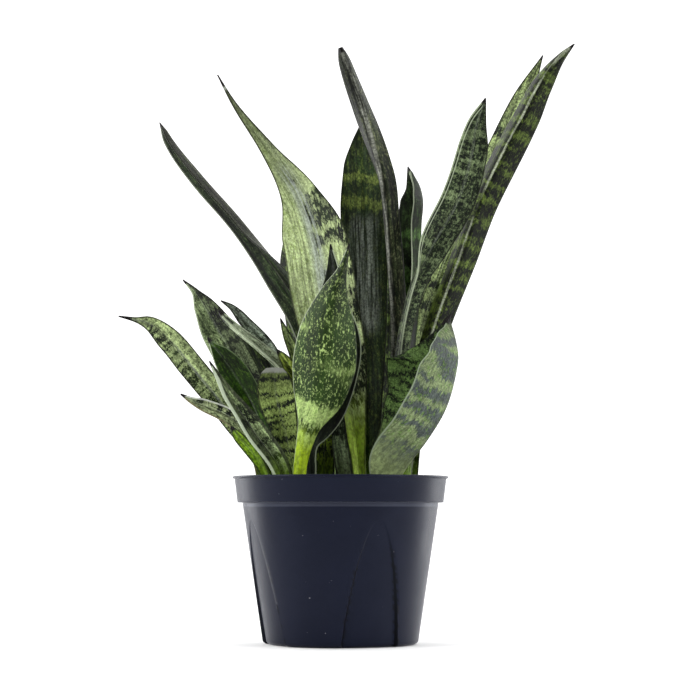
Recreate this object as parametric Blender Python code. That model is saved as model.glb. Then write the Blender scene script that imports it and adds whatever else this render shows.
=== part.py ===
"""A snake plant in a thin plastic nursery pot.

Lengths are metres unless a name ends in _MM or _DEG. +Z is up, and the origin is the centre of the
pot's underside. Each leaf is one solid that grows out of its own socket in the potting soil.
"""

import math

import bmesh
import bpy
import numpy as np

MM = 0.001

# ---- Pot ----
RIM_RADIUS = 0.0760
POT_HEIGHT = 0.1170
WALL = 0.0015
LIP_HEIGHT = 0.0016
LIP_OVERHANG = 0.0014
BAND_HEIGHT = 0.0185
BAND_TAPER = 0.0021
SHOULDER_STEP = 0.0038
NECK_HEIGHT = 0.0020
BODY_TAPER_DEG = 8.5
FOOT_FILLET = 0.0035
FLOOR_THICKNESS = 0.0020

# ---- Arched recesses pressed into the pot's side ----
PANEL_COUNT = 4
PANEL_AZIMUTH_DEG = 23.0
PANEL_HALF_ANGLE_DEG = 21.5
PANEL_DROP = 0.0105
PANEL_CURVE = 0.62
PANEL_TIP_SHARE = 0.4
PANEL_DEPTH = 0.0026
PANEL_DEPTH_CURVE = 0.7
PANEL_EDGE_DEG = 1.2

# ---- Drain holes ----
DRAIN_HOLES = 8
DRAIN_RADIUS = 0.0040
DRAIN_INSET = 0.0143

# ---- Soil ----
SOIL_DEPTH_BELOW_RIM = 0.0200
SOIL_CROWN = 0.0015
SOIL_RINGS = 6
FIT_GAP = 0.0003

# ---- Leaves, before the whole clump is scaled to the pot ----
CLUMP_RADIUS = 0.0655
PLANTING_DEPTH = 0.0100
COLLAR_RISE = 0.0040
LEAF_THICKNESS = 0.0032
LEAF_BASE_THICKNESS = 0.0050
LEAF_EDGE_THICKNESS = 0.0010
LEAF_THICKEST_SHARE = 0.45
BASE_SWELL_HEIGHT = 0.0450
CREASE_WIDTH = 0.15
EDGE_THINNING = 1.6

# ---- How finely leaves are divided ----
LEAF_STATIONS = 12
TIP_CROWDING = 1.25
LEAF_SIDE_POINTS = 5
FOLD_SAMPLES = 81
TANGENT_STEP = 0.002

# Every leaf is a list of stations from the soil up to the tip, in millimetres and degrees:
# (x, y, height above the soil, width across the flattened blade, turn, fold).
# Turn 0 has the leaf's inner face towards -Y, and a positive turn swings it towards +X.
# Fold is how far each half of the blade is raised from flat, and 0 is a flat blade.
LEAVES_MM = {
    "leaf_tall_left_dark": (
        1.0,
        [
            (-10, 18, 0, 12, -20, 50),
            (-11, 20, 60, 18, -20, 40),
            (-17, 24, 121, 30, -25, 32),
            (-43, 32, 166, 26, -40, 36),
            (-72, 40, 205, 19, -65, 58),
            (-103, 48, 241, 18, -65, 60),
            (-126, 54, 270, 11, -60, 60),
            (-134, 56, 283, 1, -60, 50),
        ],
    ),
    "leaf_tall_left_light": (
        1.0,
        [
            (14, 0, 0, 13, 0, 50),
            (13, 0, 24, 13, 0, 46),
            (9, 0, 60, 22, 0, 36),
            (-1, 1, 100, 44, 0, 27),
            (-12, 4, 150, 51, 0, 26),
            (-18, 8, 186, 50, 0, 26),
            (-30, 15, 222, 30, 0, 30),
            (-53, 23, 257, 13, 0, 36),
            (-79, 30, 294, 4, 0, 36),
            (-90, 33, 314, 1, 0, 30),
        ],
    ),
    "leaf_tall_centre_twist": (
        1.0,
        [
            (33, 8, 0, 12, 150, 50),
            (36, 8, 60, 16, 145, 50),
            (38, 8, 120, 19, 140, 50),
            (35, 6, 178, 20, 140, 50),
            (33, 4, 203, 19, 140, 50),
            (30, 2, 231, 20, 145, 50),
            (26, 0, 247, 20, 155, 50),
            (20, -3, 268, 20, 172, 50),
            (14, -6, 286, 18, 182, 50),
            (6, -10, 308, 14, 188, 48),
            (3, -12, 316, 11, 188, 45),
            (0, -13, 324, 4, 188, 40),
        ],
    ),
    "leaf_tall_centre_dark": (
        1.0,
        [
            (21, 24, 0, 13, 0, 50),
            (20, 25, 60, 22, 0, 38),
            (18, 28, 130, 33, 0, 24),
            (17, 33, 211, 36, 0, 20),
            (16, 37, 246, 29, 0, 20),
            (15, 39, 264, 15, 0, 22),
            (15, 40, 279, 1, 0, 20),
        ],
    ),
    "leaf_centre_right_small": (
        1.0,
        [
            (42, 25, 0, 10, -40, 48),
            (50, 26, 90, 18, -55, 54),
            (56, 26, 160, 28, -60, 58),
            (57, 26, 203, 33, -60, 60),
            (58, 26, 221, 31, -60, 60),
            (56, 26, 230, 21, -60, 58),
            (52, 26, 238, 9, -60, 55),
            (49, 26, 245, 1, -60, 45),
        ],
    ),
    "leaf_front_centre": (
        0.3,
        [
            (-28, -34, 0, 11, 180, 55),
            (-28, -35, 24, 11, 180, 52),
            (-23, -37, 49, 16, 180, 46),
            (-15, -40, 75, 42, 180, 44),
            (-11, -42, 98, 50, 180, 42),
            (-9, -43, 118, 45, 180, 42),
            (-4, -44, 147, 21, 180, 45),
            (1, -44, 161, 8, 180, 45),
            (6, -45, 179, 1, 180, 30),
        ],
    ),
    "leaf_front_centre_inner": (
        0.5,
        [
            (-21, -18, 0, 10, 0, 46),
            (-21, -18, 24, 10, 0, 46),
            (-21, -19, 42, 13, 0, 38),
            (-17, -19, 51, 21, 0, 26),
            (-11, -19, 65, 29, 0, 20),
            (-8, -19, 87, 39, 0, 18),
            (-6, -19, 107, 42, 0, 18),
            (-7, -20, 121, 40, 0, 18),
            (-6, -20, 139, 26, 0, 20),
            (-5, -21, 155, 14, 0, 20),
            (-6, -22, 173, 5, 0, 20),
            (-7, -22, 182, 1, 0, 20),
        ],
    ),
    "leaf_right_centre_twist": (
        1.0,
        [
            (34, -2, 0, 12, 60, 50),
            (37, -1, 60, 15, 60, 50),
            (43, -2, 124, 18, 60, 48),
            (53, -5, 160, 20, 55, 46),
            (66, -9, 185, 25, 15, 26),
            (81, -12, 210, 26, 0, 20),
            (93, -18, 249, 23, 0, 20),
            (96, -22, 267, 15, 0, 22),
            (102, -26, 285, 1, 0, 20),
        ],
    ),
    "leaf_tall_right_rear": (
        1.0,
        [
            (50, 30, 0, 12, 0, 50),
            (53, 34, 60, 17, 0, 40),
            (62, 38, 136, 27, 0, 26),
            (86, 46, 199, 30, 0, 22),
            (113, 56, 246, 27, 0, 24),
            (135, 66, 300, 17, 0, 26),
            (152, 72, 337, 1, 0, 24),
        ],
    ),
    "leaf_tall_right_front": (
        1.0,
        [
            (44, 8, 0, 12, 165, 50),
            (46, 8, 40, 16, 165, 48),
            (56, 8, 90, 22, 165, 48),
            (70, 8, 135, 26, 165, 48),
            (85, 6, 175, 28, 163, 48),
            (100, 4, 217, 31, 163, 50),
            (115, 0, 248, 32, 163, 50),
            (130, -6, 276, 29, 163, 50),
            (142, -10, 299, 22, 163, 50),
            (155, -14, 316, 10, 163, 48),
            (166, -16, 326, 1, 163, 40),
        ],
    ),
    "leaf_right_front_low": (
        0.9,
        [
            (30, -26, 0, 26, -90, 60),
            (42, -30, 23, 60, -89, 65),
            (60, -34, 47, 80, -76, 63),
            (71, -34, 66, 90, -73, 65),
            (77, -32, 86, 97, -67, 65),
            (79, -31, 101, 97, -58, 65),
            (78, -30, 113, 66, -64, 58),
            (76, -29, 123, 24, -66, 56),
            (75, -29, 127, 9, -66, 50),
            (77, -29, 132, 1, -66, 40),
        ],
    ),
    "leaf_left_low_arch": (
        0.8,
        [
            (-47, 15, 0, 11, 0, 48),
            (-53, 15, 28, 14, 0, 38),
            (-76, 12, 61, 19, 0, 24),
            (-106, 6, 98, 19, 0, 20),
            (-121, 0, 116, 18, 0, 22),
            (-136, -6, 128, 11, 0, 30),
            (-145, -10, 130, 4, 0, 34),
            (-156, -14, 132, 1, 0, 20),
        ],
    ),
    "leaf_left_mid_upright": (
        1.0,
        [
            (-38, 22, 0, 11, 0, 50),
            (-49, 24, 45, 18, 0, 38),
            (-68, 28, 88, 28, 0, 26),
            (-87, 34, 123, 27, 0, 24),
            (-99, 38, 144, 17, 0, 26),
            (-106, 40, 155, 6, 0, 28),
            (-115, 42, 164, 1, 0, 24),
        ],
    ),
    "leaf_left_small_curl": (
        1.0,
        [
            (-24, 32, 0, 9, 0, 48),
            (-36, 36, 60, 12, 0, 40),
            (-51, 42, 112, 12, 0, 34),
            (-70, 48, 134, 10, 0, 34),
            (-80, 52, 145, 5, 0, 34),
            (-88, 54, 150, 1, 0, 24),
        ],
    ),
    "leaf_left_strip": (
        1.0,
        [
            (-27, 3, 0, 11, 30, 50),
            (-30, 2, 50, 14, 40, 48),
            (-39, 0, 91, 15, 50, 46),
            (-57, -4, 109, 12, 50, 46),
            (-74, -8, 123, 9, 50, 46),
            (-83, -11, 132, 6, 50, 46),
            (-86, -12, 136, 2, 50, 40),
        ],
    ),
    "leaf_left_mid_dark": (
        1.0,
        [
            (-41, -2, 0, 10, 0, 48),
            (-50, -3, 38, 14, 0, 36),
            (-63, -4, 72, 21, 0, 26),
            (-74, -4, 91, 22, 0, 24),
            (-84, -4, 105, 15, 0, 26),
            (-90, -4, 112, 6, 0, 28),
            (-94, -4, 118, 1, 0, 24),
        ],
    ),
    "leaf_left_low_small": (
        0.8,
        [
            (-54, 3, 0, 9, 0, 46),
            (-58, 4, 33, 11, 0, 34),
            (-77, 3, 61, 12, 0, 26),
            (-96, 1, 70, 10, 0, 26),
            (-106, -1, 74, 5, 0, 26),
            (-113, -2, 78, 1, 0, 20),
        ],
    ),
    "leaf_left_low_bright": (
        1.0,
        [
            (-50, -14, 0, 8, 0, 46),
            (-54, -12, 24, 9, 0, 40),
            (-63, -10, 38, 10, 0, 30),
            (-72, -9, 48, 8, 0, 28),
            (-77, -8, 55, 1, 0, 20),
        ],
    ),
    "leaf_left_front_fold": (
        1.0,
        [
            (-38, -24, 0, 14, 12, 50),
            (-42, -26, 23, 20, 12, 50),
            (-59, -31, 49, 22, 12, 50),
            (-68, -35, 62, 18, 12, 50),
            (-78, -40, 76, 12, 12, 48),
            (-84, -43, 87, 6, 12, 44),
            (-90, -46, 98, 1, 12, 30),
        ],
    ),
    "leaf_left_blunt": (
        0.7,
        [
            (-31, -14, 0, 11, 0, 50),
            (-33, -15, 24, 13, 0, 44),
            (-39, -17, 52, 21, 0, 32),
            (-45, -20, 78, 28, 0, 24),
            (-46, -22, 90, 22, 0, 22),
            (-46, -23, 95, 12, 0, 20),
        ],
    ),
    "leaf_left_inner_pale": (
        1.0,
        [
            (-22, 14, 0, 9, 0, 46),
            (-25, 13, 60, 12, 0, 38),
            (-32, 12, 106, 10, 0, 34),
            (-38, 12, 120, 7, 0, 34),
            (-43, 12, 133, 1, 0, 24),
        ],
    ),
    "leaf_left_inner_short": (
        1.0,
        [
            (-16, -1, 0, 9, 0, 46),
            (-24, -7, 60, 11, 0, 38),
            (-34, -9, 94, 12, 0, 34),
            (-41, -10, 104, 7, 0, 34),
            (-45, -10, 109, 1, 0, 24),
        ],
    ),
    "leaf_inner_olive": (
        1.0,
        [
            (-10, -6, 0, 10, 0, 46),
            (-11, -7, 24, 16, 0, 36),
            (-11, -9, 52, 15, 0, 34),
            (-10, -10, 75, 8, 0, 32),
            (-9, -10, 90, 1, 0, 24),
        ],
    ),
    "leaf_inner_banded": (
        1.0,
        [
            (6, -12, 0, 9, 0, 46),
            (2, -13, 26, 14, 0, 36),
            (-1, -14, 50, 12, 0, 32),
            (-2, -13, 70, 8, 0, 32),
            (-2, -12, 84, 1, 0, 24),
        ],
    ),
    "leaf_back_left": (
        1.0,
        [
            (-6, 38, 0, 14, 170, 46),
            (-14, 42, 60, 22, 170, 36),
            (-26, 52, 130, 32, 170, 24),
            (-33, 60, 178, 28, 170, 22),
            (-40, 66, 208, 1, 170, 20),
        ],
    ),
    "leaf_back_small": (
        1.0,
        [
            (-24, 44, 0, 10, 0, 50),
            (-40, 48, 45, 18, 0, 38),
            (-54, 52, 80, 24, 0, 30),
            (-63, 54, 104, 21, 0, 28),
            (-70, 55, 120, 10, 0, 28),
            (-73, 55, 129, 1, 0, 24),
        ],
    ),
    "leaf_back_centre": (
        1.0,
        [
            (16, 40, 0, 13, 185, 50),
            (24, 45, 60, 22, 185, 36),
            (32, 52, 120, 28, 185, 24),
            (34, 57, 165, 26, 185, 22),
            (34, 60, 196, 14, 185, 22),
            (34, 62, 212, 1, 185, 20),
        ],
    ),
    "leaf_back_right": (
        1.0,
        [
            (33, 48, 0, 12, 190, 50),
            (43, 54, 60, 20, 190, 36),
            (60, 66, 120, 26, 190, 24),
            (70, 74, 158, 20, 190, 22),
            (76, 80, 180, 1, 190, 20),
        ],
    ),
}

PALE_LEAVES = (
    "leaf_tall_left_light",
    "leaf_front_centre",
    "leaf_left_inner_pale",
    "leaf_left_strip",
)
BRIGHT_LEAVES = (
    "leaf_left_low_bright",
    "leaf_left_inner_short",
    "leaf_inner_olive",
)

# Base colour and roughness of each kind of piece.
FINISHES = {
    "pot": ((0.022, 0.024, 0.038), 0.48),
    "soil": ((0.030, 0.020, 0.013), 0.95),
    "dark_leaf": ((0.035, 0.070, 0.022), 0.40),
    "pale_leaf": ((0.090, 0.160, 0.045), 0.40),
    "bright_leaf": ((0.075, 0.150, 0.010), 0.40),
}


def soil_surface():
    """Height of the soil's surface where it meets the pot."""
    return POT_HEIGHT - SOIL_DEPTH_BELOW_RIM


def plant_scale():
    """How much the whole clump grows or shrinks to stand in the pot where its sockets end."""
    room = body_radius(soil_surface() - PLANTING_DEPTH) - WALL - FIT_GAP
    return room / CLUMP_RADIUS


def clear_scene():
    """Start from an empty scene."""
    for item in list(bpy.data.objects):
        bpy.data.objects.remove(item)


def make_material(name, kind):
    """A Principled material with the colour and roughness of one kind of piece."""
    colour, roughness = FINISHES[kind]
    material = bpy.data.materials.new(name)
    material.use_nodes = True
    shader = material.node_tree.nodes["Principled BSDF"]
    shader.inputs["Base Color"].default_value = (*colour, 1.0)
    shader.inputs["Roughness"].default_value = roughness
    shader.inputs["Metallic"].default_value = 0.0
    return material


def make_object(name, kind, points, faces):
    """A closed mesh object from its points and faces, with faces turned outwards."""
    mesh = bpy.data.meshes.new(name)
    mesh.from_pydata([tuple(p) for p in points], [], faces)
    shell = bmesh.new()
    shell.from_mesh(mesh)
    bmesh.ops.recalc_face_normals(shell, faces=shell.faces)
    shell.to_mesh(mesh)
    shell.free()
    mesh.materials.append(make_material(name, kind))
    mesh.shade_smooth()
    mesh.set_sharp_from_angle(angle=math.radians(40))
    item = bpy.data.objects.new(name, mesh)
    bpy.context.collection.objects.link(item)
    return item


def bridge(ring_count, ring_size, closed):
    """Quads between successive rings of points; closed also joins the last ring to the first."""
    faces = []
    for ring in range(ring_count if closed else ring_count - 1):
        first = ring * ring_size
        second = (ring + 1) % ring_count * ring_size
        for k in range(ring_size):
            following = (k + 1) % ring_size
            faces.append((first + k, first + following, second + following, second + k))
    return faces


# ---- Pot ----


def band_radius(height):
    """Outer radius of the rim band under the lip."""
    top = POT_HEIGHT - LIP_HEIGHT
    share = (top - height) / (BAND_HEIGHT - LIP_HEIGHT)
    return RIM_RADIUS - LIP_OVERHANG - BAND_TAPER * share


def neck_radius():
    """Outer radius just under the band."""
    return band_radius(POT_HEIGHT - BAND_HEIGHT) - SHOULDER_STEP


def body_radius(height):
    """Outer radius of the tapered body, away from the recesses."""
    return neck_radius() - (body_top() - height) * math.tan(math.radians(BODY_TAPER_DEG))


def body_top():
    """Height where the tapered body meets the neck."""
    return POT_HEIGHT - BAND_HEIGHT - NECK_HEIGHT


def panel_share(height):
    """0 at the top of a recess and above it, 1 at the foot."""
    return max(0.0, 1.0 - height / (body_top() - PANEL_DROP))


def column_angles(height):
    """Angles in degrees of the pot's columns; some of them follow the edges of the recesses."""
    pitch = 360.0 / PANEL_COUNT
    half = PANEL_HALF_ANGLE_DEG * panel_share(height) ** PANEL_CURVE
    half += PANEL_TIP_SHARE * PANEL_EDGE_DEG
    edge = half + PANEL_EDGE_DEG
    between = [edge + (pitch / 2 - edge) * k / 3 for k in (1, 2)]
    steps = [-b for b in reversed(between)] + [-edge, -half, -half / 2, 0.0, half / 2, half, edge]
    steps = [-pitch / 2] + steps + between
    angles = []
    for panel in range(PANEL_COUNT):
        centre = PANEL_AZIMUTH_DEG + panel * pitch
        angles.extend(centre + step for step in steps)
    return np.array(angles)


def recess_depths(height):
    """How far each column is pressed in at one height."""
    depth = PANEL_DEPTH * panel_share(height) ** PANEL_DEPTH_CURVE
    one_panel = [0.0] * 4 + [depth] * 5 + [0.0] * 3
    return np.array(one_panel * PANEL_COUNT)


def pot_ring(height, radius, inset):
    """One ring of the pot: a point on every column, inset from the outer surface."""
    # Angle 0 is -Y and grows towards +X.
    angles = np.radians(column_angles(height))
    radii = radius - inset - recess_depths(height)
    heights = np.full(len(angles), height)
    return np.stack([radii * np.sin(angles), -radii * np.cos(angles), heights], 1)


def body_heights(bottom):
    """Heights of the body's rings, from the neck down, closer together at the top of the recesses."""
    shares = (0.015, 0.06, 0.16, 0.32, 0.55, 0.80)
    panel_top = body_top() - PANEL_DROP
    heights = [body_top(), panel_top]
    heights += [panel_top - share * (panel_top - bottom) for share in shares]
    return heights + [bottom]


def outer_rings():
    """The outside of the pot, from the lip's top edge down to the underside."""
    lip_bottom = POT_HEIGHT - LIP_HEIGHT
    band_bottom = POT_HEIGHT - BAND_HEIGHT
    rings = [
        pot_ring(POT_HEIGHT, RIM_RADIUS, 0.0),
        pot_ring(lip_bottom, RIM_RADIUS, 0.0),
        pot_ring(lip_bottom, band_radius(lip_bottom), 0.0),
        pot_ring(band_bottom, band_radius(band_bottom), 0.0),
        pot_ring(band_bottom, neck_radius(), 0.0),
    ]
    rings += [pot_ring(z, body_radius(z), 0.0) for z in body_heights(FOOT_FILLET)]
    foot = body_radius(FOOT_FILLET)
    for angle in (45.0, 90.0):
        inset = FOOT_FILLET * (1.0 - math.cos(math.radians(angle)))
        height = FOOT_FILLET * (1.0 - math.sin(math.radians(angle)))
        rings.append(pot_ring(height, foot, inset))
    return rings


def inner_rings(inset):
    """The pot's inside from its floor up to the shoulder, a given inset from the outside."""
    floor = FLOOR_THICKNESS + (inset - WALL)
    return [pot_ring(z, body_radius(z), inset) for z in reversed(body_heights(floor))]


def pot_rings():
    """All the pot's rings, from the centre of the underside round to the centre of the floor."""
    shelf = POT_HEIGHT - BAND_HEIGHT + WALL
    band_bottom = POT_HEIGHT - BAND_HEIGHT
    rings = inner_rings(WALL)
    rings.append(pot_ring(shelf, neck_radius(), WALL))
    rings.append(pot_ring(shelf, band_radius(band_bottom), WALL))
    rings.append(pot_ring(POT_HEIGHT, band_radius(POT_HEIGHT), WALL))
    return rings + outer_rings()


def drain_cutter(index):
    """A rod that cuts one drain hole through the pot's floor."""
    angle = 2 * math.pi * (index + 0.5) / DRAIN_HOLES
    circle = body_radius(FOOT_FILLET) - FOOT_FILLET - DRAIN_INSET
    length = 6 * FLOOR_THICKNESS
    cutter_mesh = bpy.data.meshes.new("drain_cutter")
    rod = bmesh.new()
    bmesh.ops.create_cone(
        rod, cap_ends=True, segments=12, radius1=DRAIN_RADIUS, radius2=DRAIN_RADIUS, depth=length
    )
    rod.to_mesh(cutter_mesh)
    rod.free()
    cutter = bpy.data.objects.new(f"drain_cutter_{index}", cutter_mesh)
    bpy.context.collection.objects.link(cutter)
    cutter.location = (circle * math.sin(angle), -circle * math.cos(angle), FLOOR_THICKNESS / 2)
    return cutter


def cut_away(item, cutter):
    """Cut one cutter out of an object and hide the cutter."""
    cutter.hide_render = True
    cutter.display_type = "WIRE"
    modifier = item.modifiers.new(cutter.name, "BOOLEAN")
    modifier.operation = "DIFFERENCE"
    modifier.solver = "EXACT"
    modifier.object = cutter


def make_pot():
    """The thin moulded pot with its lip, band, shoulder, recesses and drain holes."""
    rings = pot_rings()
    ring_size = len(rings[0])
    points = np.concatenate(rings)
    faces = bridge(len(rings), ring_size, closed=False)
    last = (len(rings) - 1) * ring_size
    faces.append(tuple(range(ring_size)))
    faces.append(tuple(range(last, last + ring_size)))
    pot = make_object("pot", "pot", points, faces)
    for index in range(DRAIN_HOLES):
        cut_away(pot, drain_cutter(index))
    return pot


# ---- Leaves ----


def blend_slopes(steps, changes, limited):
    """Slopes at the stations of a smooth curve; limited slopes never overshoot a station."""
    slopes = np.empty(len(steps) + 1)
    rates = changes / steps
    slopes[0] = rates[0]
    slopes[-1] = rates[-1]
    for k in range(1, len(steps)):
        before, after = rates[k - 1], rates[k]
        if not limited:
            slopes[k] = (before * steps[k] + after * steps[k - 1]) / (steps[k - 1] + steps[k])
        elif before * after <= 0:
            slopes[k] = 0.0
        else:
            slopes[k] = 2 * before * after / (before + after)
    return slopes


def smooth_stations(rows, places):
    """Values of every column of the stations at places from 0 at the base to 1 at the tip."""
    rows = np.array(rows, dtype=float)
    steps = np.linalg.norm(np.diff(rows[:, :3], axis=0), axis=1)
    along = np.concatenate([[0.0], np.cumsum(steps)])
    wanted = places * along[-1]
    found = np.clip(np.searchsorted(along, wanted, side="right") - 1, 0, len(steps) - 1)
    span = steps[found]
    t = (wanted - along[found]) / span
    result = np.empty((len(places), rows.shape[1]))
    for column in range(rows.shape[1]):
        values = rows[:, column]
        slopes = blend_slopes(steps, np.diff(values), limited=column > 2)
        result[:, column] = (
            (1 + 2 * t) * (1 - t) ** 2 * values[found]
            + t * (1 - t) ** 2 * span * slopes[found]
            + t * t * (3 - 2 * t) * values[found + 1]
            - t * t * (1 - t) * span * slopes[found + 1]
        )
    return result


def blade_section(sizes, fold, crease, across):
    """Outline of one cross-section as (sideways, towards the inner face) pairs, inner face first.

    sizes are the width across the flattened blade and its thickness at the midrib and the margin.
    crease 1 folds the blade sharply at its midrib, and crease 0 bends it evenly like a gutter.
    """
    width, middle, edge = sizes
    fine = np.linspace(-1.0, 1.0, FOLD_SAMPLES)
    slope = fold * ((1 - crease) * fine + crease * np.tanh(fine / CREASE_WIDTH))
    step = width / 2 * (fine[1] - fine[0])
    sideways = np.concatenate([[0.0], np.cumsum(np.cos((slope[1:] + slope[:-1]) / 2) * step)])
    inward = np.concatenate([[0.0], np.cumsum(np.sin((slope[1:] + slope[:-1]) / 2) * step)])
    sideways -= sideways[FOLD_SAMPLES // 2]
    inward -= inward[FOLD_SAMPLES // 2]
    angle = np.interp(across, fine, slope)
    centre = np.stack([np.interp(across, fine, sideways), np.interp(across, fine, inward)], 1)
    half = (edge + (middle - edge) * (1 - np.abs(across) ** EDGE_THINNING)) / 2
    normal = np.stack([-np.sin(angle), np.cos(angle)], 1) * half[:, None]
    return np.concatenate([centre + normal, (centre - normal)[::-1]])


def planted_rows(rows):
    """The stations with one more below the soil's surface, straight down the leaf's own line."""
    first = np.array(rows[0], dtype=float)
    second = np.array(rows[1], dtype=float)
    rise = second[2] - first[2]
    lowest = first.copy()
    lowest[:2] -= (second[:2] - first[:2]) * PLANTING_DEPTH / MM / rise
    lowest[2] -= PLANTING_DEPTH / MM
    return [tuple(lowest)] + list(rows)


def middle_thickness(height, width):
    """Thickness at the midrib, swelling towards the soil and never much next to the width."""
    swell = min(1.0, max(0.0, 1.0 - height / BASE_SWELL_HEIGHT))
    middle = LEAF_THICKNESS + (LEAF_BASE_THICKNESS - LEAF_THICKNESS) * swell
    return min(middle, max(LEAF_EDGE_THICKNESS, width * LEAF_THICKEST_SHARE))


def spine_tangents(rows, places):
    """Unit directions of the leaf's spine at the given places."""
    ahead = smooth_stations(rows, np.minimum(places + TANGENT_STEP, 1.0))[:, :3]
    behind = smooth_stations(rows, np.maximum(places - TANGENT_STEP, 0.0))[:, :3]
    along = ahead - behind
    return along / np.linalg.norm(along, axis=1)[:, None]


def leaf_rings(crease, rows, places, side_points, extra=0.0):
    """Rings of points around a leaf at the given places; extra thickens the blade all round."""
    scale = plant_scale()
    values = smooth_stations(planted_rows(rows), places)
    spine = values[:, :3] * MM * scale + np.array([0.0, 0.0, soil_surface()])
    tangents = spine_tangents(planted_rows(rows), places)
    across = np.linspace(-1.0, 1.0, side_points)
    rings = []
    for centre, tangent, row in zip(spine, tangents, values):
        width, turn, fold = row[3] * MM, math.radians(row[4]), math.radians(row[5])
        forward = np.array([0.0, -1.0, 0.0])
        forward -= tangent * forward.dot(tangent)
        forward /= np.linalg.norm(forward)
        side = np.cross(tangent, forward)
        facing = forward * math.cos(turn) + side * math.sin(turn)
        lateral = side * math.cos(turn) - forward * math.sin(turn)
        sizes = np.array([width, middle_thickness(row[2] * MM, width), LEAF_EDGE_THICKNESS])
        sizes = sizes * scale + 2 * extra
        outline = blade_section(sizes, fold, crease, across)
        rings.append(centre + outline[:, :1] * lateral + outline[:, 1:] * facing)
    return rings


def collar_place(rows):
    """The place on a leaf where it is clear of the soil's surface."""
    spine = np.array(planted_rows(rows), dtype=float)[:, :3] * MM
    length = np.linalg.norm(np.diff(spine, axis=0), axis=1).sum()
    return (PLANTING_DEPTH + COLLAR_RISE) / length


def leaf_places(rows):
    """Places of a leaf's rings: the planted end, the collar, then closer together to the tip."""
    collar = collar_place(rows)
    even = np.linspace(0.0, 1.0, LEAF_STATIONS)
    return np.concatenate([[0.0], collar + (1.0 - collar) * (1.0 - (1.0 - even) ** TIP_CROWDING)])


def ring_solid(name, kind, rings):
    """A closed solid through rings of points, with flat ends."""
    size = len(rings[0])
    faces = bridge(len(rings), size, closed=False)
    half = size // 2
    last = (len(rings) - 1) * size
    for start in (0, last):
        for k in range(half - 1):
            faces.append((start + k, start + k + 1, start + size - 2 - k, start + size - 1 - k))
    return make_object(name, kind, np.concatenate(rings), faces)


def leaf_kind(name):
    """The finish of one leaf."""
    if name in PALE_LEAVES:
        return "pale_leaf"
    return "bright_leaf" if name in BRIGHT_LEAVES else "dark_leaf"


def make_leaf(name, crease, rows):
    """One leaf, from its planted end to the point at its tip."""
    rings = leaf_rings(crease, rows, leaf_places(rows), LEAF_SIDE_POINTS)
    return ring_solid(name, leaf_kind(name), rings)


def socket_cutter(name, crease, rows):
    """The planted end of a leaf, thickened by the fit gap, as a cutter for the soil."""
    places = leaf_places(rows)[:2]
    rings = leaf_rings(crease, rows, places, LEAF_SIDE_POINTS, extra=FIT_GAP)
    rings[0][:, 2] -= FIT_GAP
    return ring_solid(f"{name}_socket", "soil", rings)


# ---- Soil ----


def soil_ring(share):
    """A ring of the soil's slightly domed surface, share 1 at the pot's wall."""
    radius = min(body_radius(soil_surface()), neck_radius())
    edge = pot_ring(soil_surface(), radius, WALL + FIT_GAP)
    ring = edge * share
    ring[:, 2] = soil_surface() + SOIL_CROWN * (1 - share * share)
    return ring


def make_soil():
    """The potting soil, which fills the pot up to its surface and has a socket for each leaf."""
    rings = [r for r in inner_rings(WALL + FIT_GAP) if r[0, 2] < soil_surface() - 0.001]
    rings += [soil_ring(1.0 - k / SOIL_RINGS) for k in range(SOIL_RINGS)]
    size = len(rings[0])
    points = np.concatenate(rings)
    faces = bridge(len(rings), size, closed=False)
    last = (len(rings) - 1) * size
    faces.append(tuple(range(size)))
    faces.append(tuple(range(last, last + size)))
    soil = make_object("potting_soil", "soil", points, faces)
    for name, (crease, rows) in LEAVES_MM.items():
        cut_away(soil, socket_cutter(name, crease, rows))
    return soil


def main():
    clear_scene()
    make_pot()
    make_soil()
    for name, (crease, rows) in LEAVES_MM.items():
        make_leaf(name, crease, rows)


if __name__ == "__main__":
    main()
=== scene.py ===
"""Looks of the potted snake plant: fine leaves, a moulded pot, potting mix, materials and studio.

Lengths are metres unless a name ends in _MM or _DEG. Everything is built in the frame's own axes:
+Z up, the origin at the centre of the pot's underside, and -Y towards the camera.
"""

import math
import random

import bmesh
import bpy
import numpy as np
from mathutils import Euler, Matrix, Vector


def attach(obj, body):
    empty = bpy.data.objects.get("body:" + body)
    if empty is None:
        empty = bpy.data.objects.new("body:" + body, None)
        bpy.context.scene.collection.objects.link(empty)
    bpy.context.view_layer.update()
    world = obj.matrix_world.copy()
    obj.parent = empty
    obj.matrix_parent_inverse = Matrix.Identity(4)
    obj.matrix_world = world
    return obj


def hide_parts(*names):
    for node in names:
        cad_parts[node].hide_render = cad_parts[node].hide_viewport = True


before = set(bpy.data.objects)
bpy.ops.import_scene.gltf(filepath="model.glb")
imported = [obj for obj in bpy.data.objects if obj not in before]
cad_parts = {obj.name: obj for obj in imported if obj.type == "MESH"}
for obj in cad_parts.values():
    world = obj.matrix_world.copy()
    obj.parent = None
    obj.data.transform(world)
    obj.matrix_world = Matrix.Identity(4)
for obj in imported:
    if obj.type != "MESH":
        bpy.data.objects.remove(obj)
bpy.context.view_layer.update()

MM = 0.001
ROOT = "root"

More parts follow.
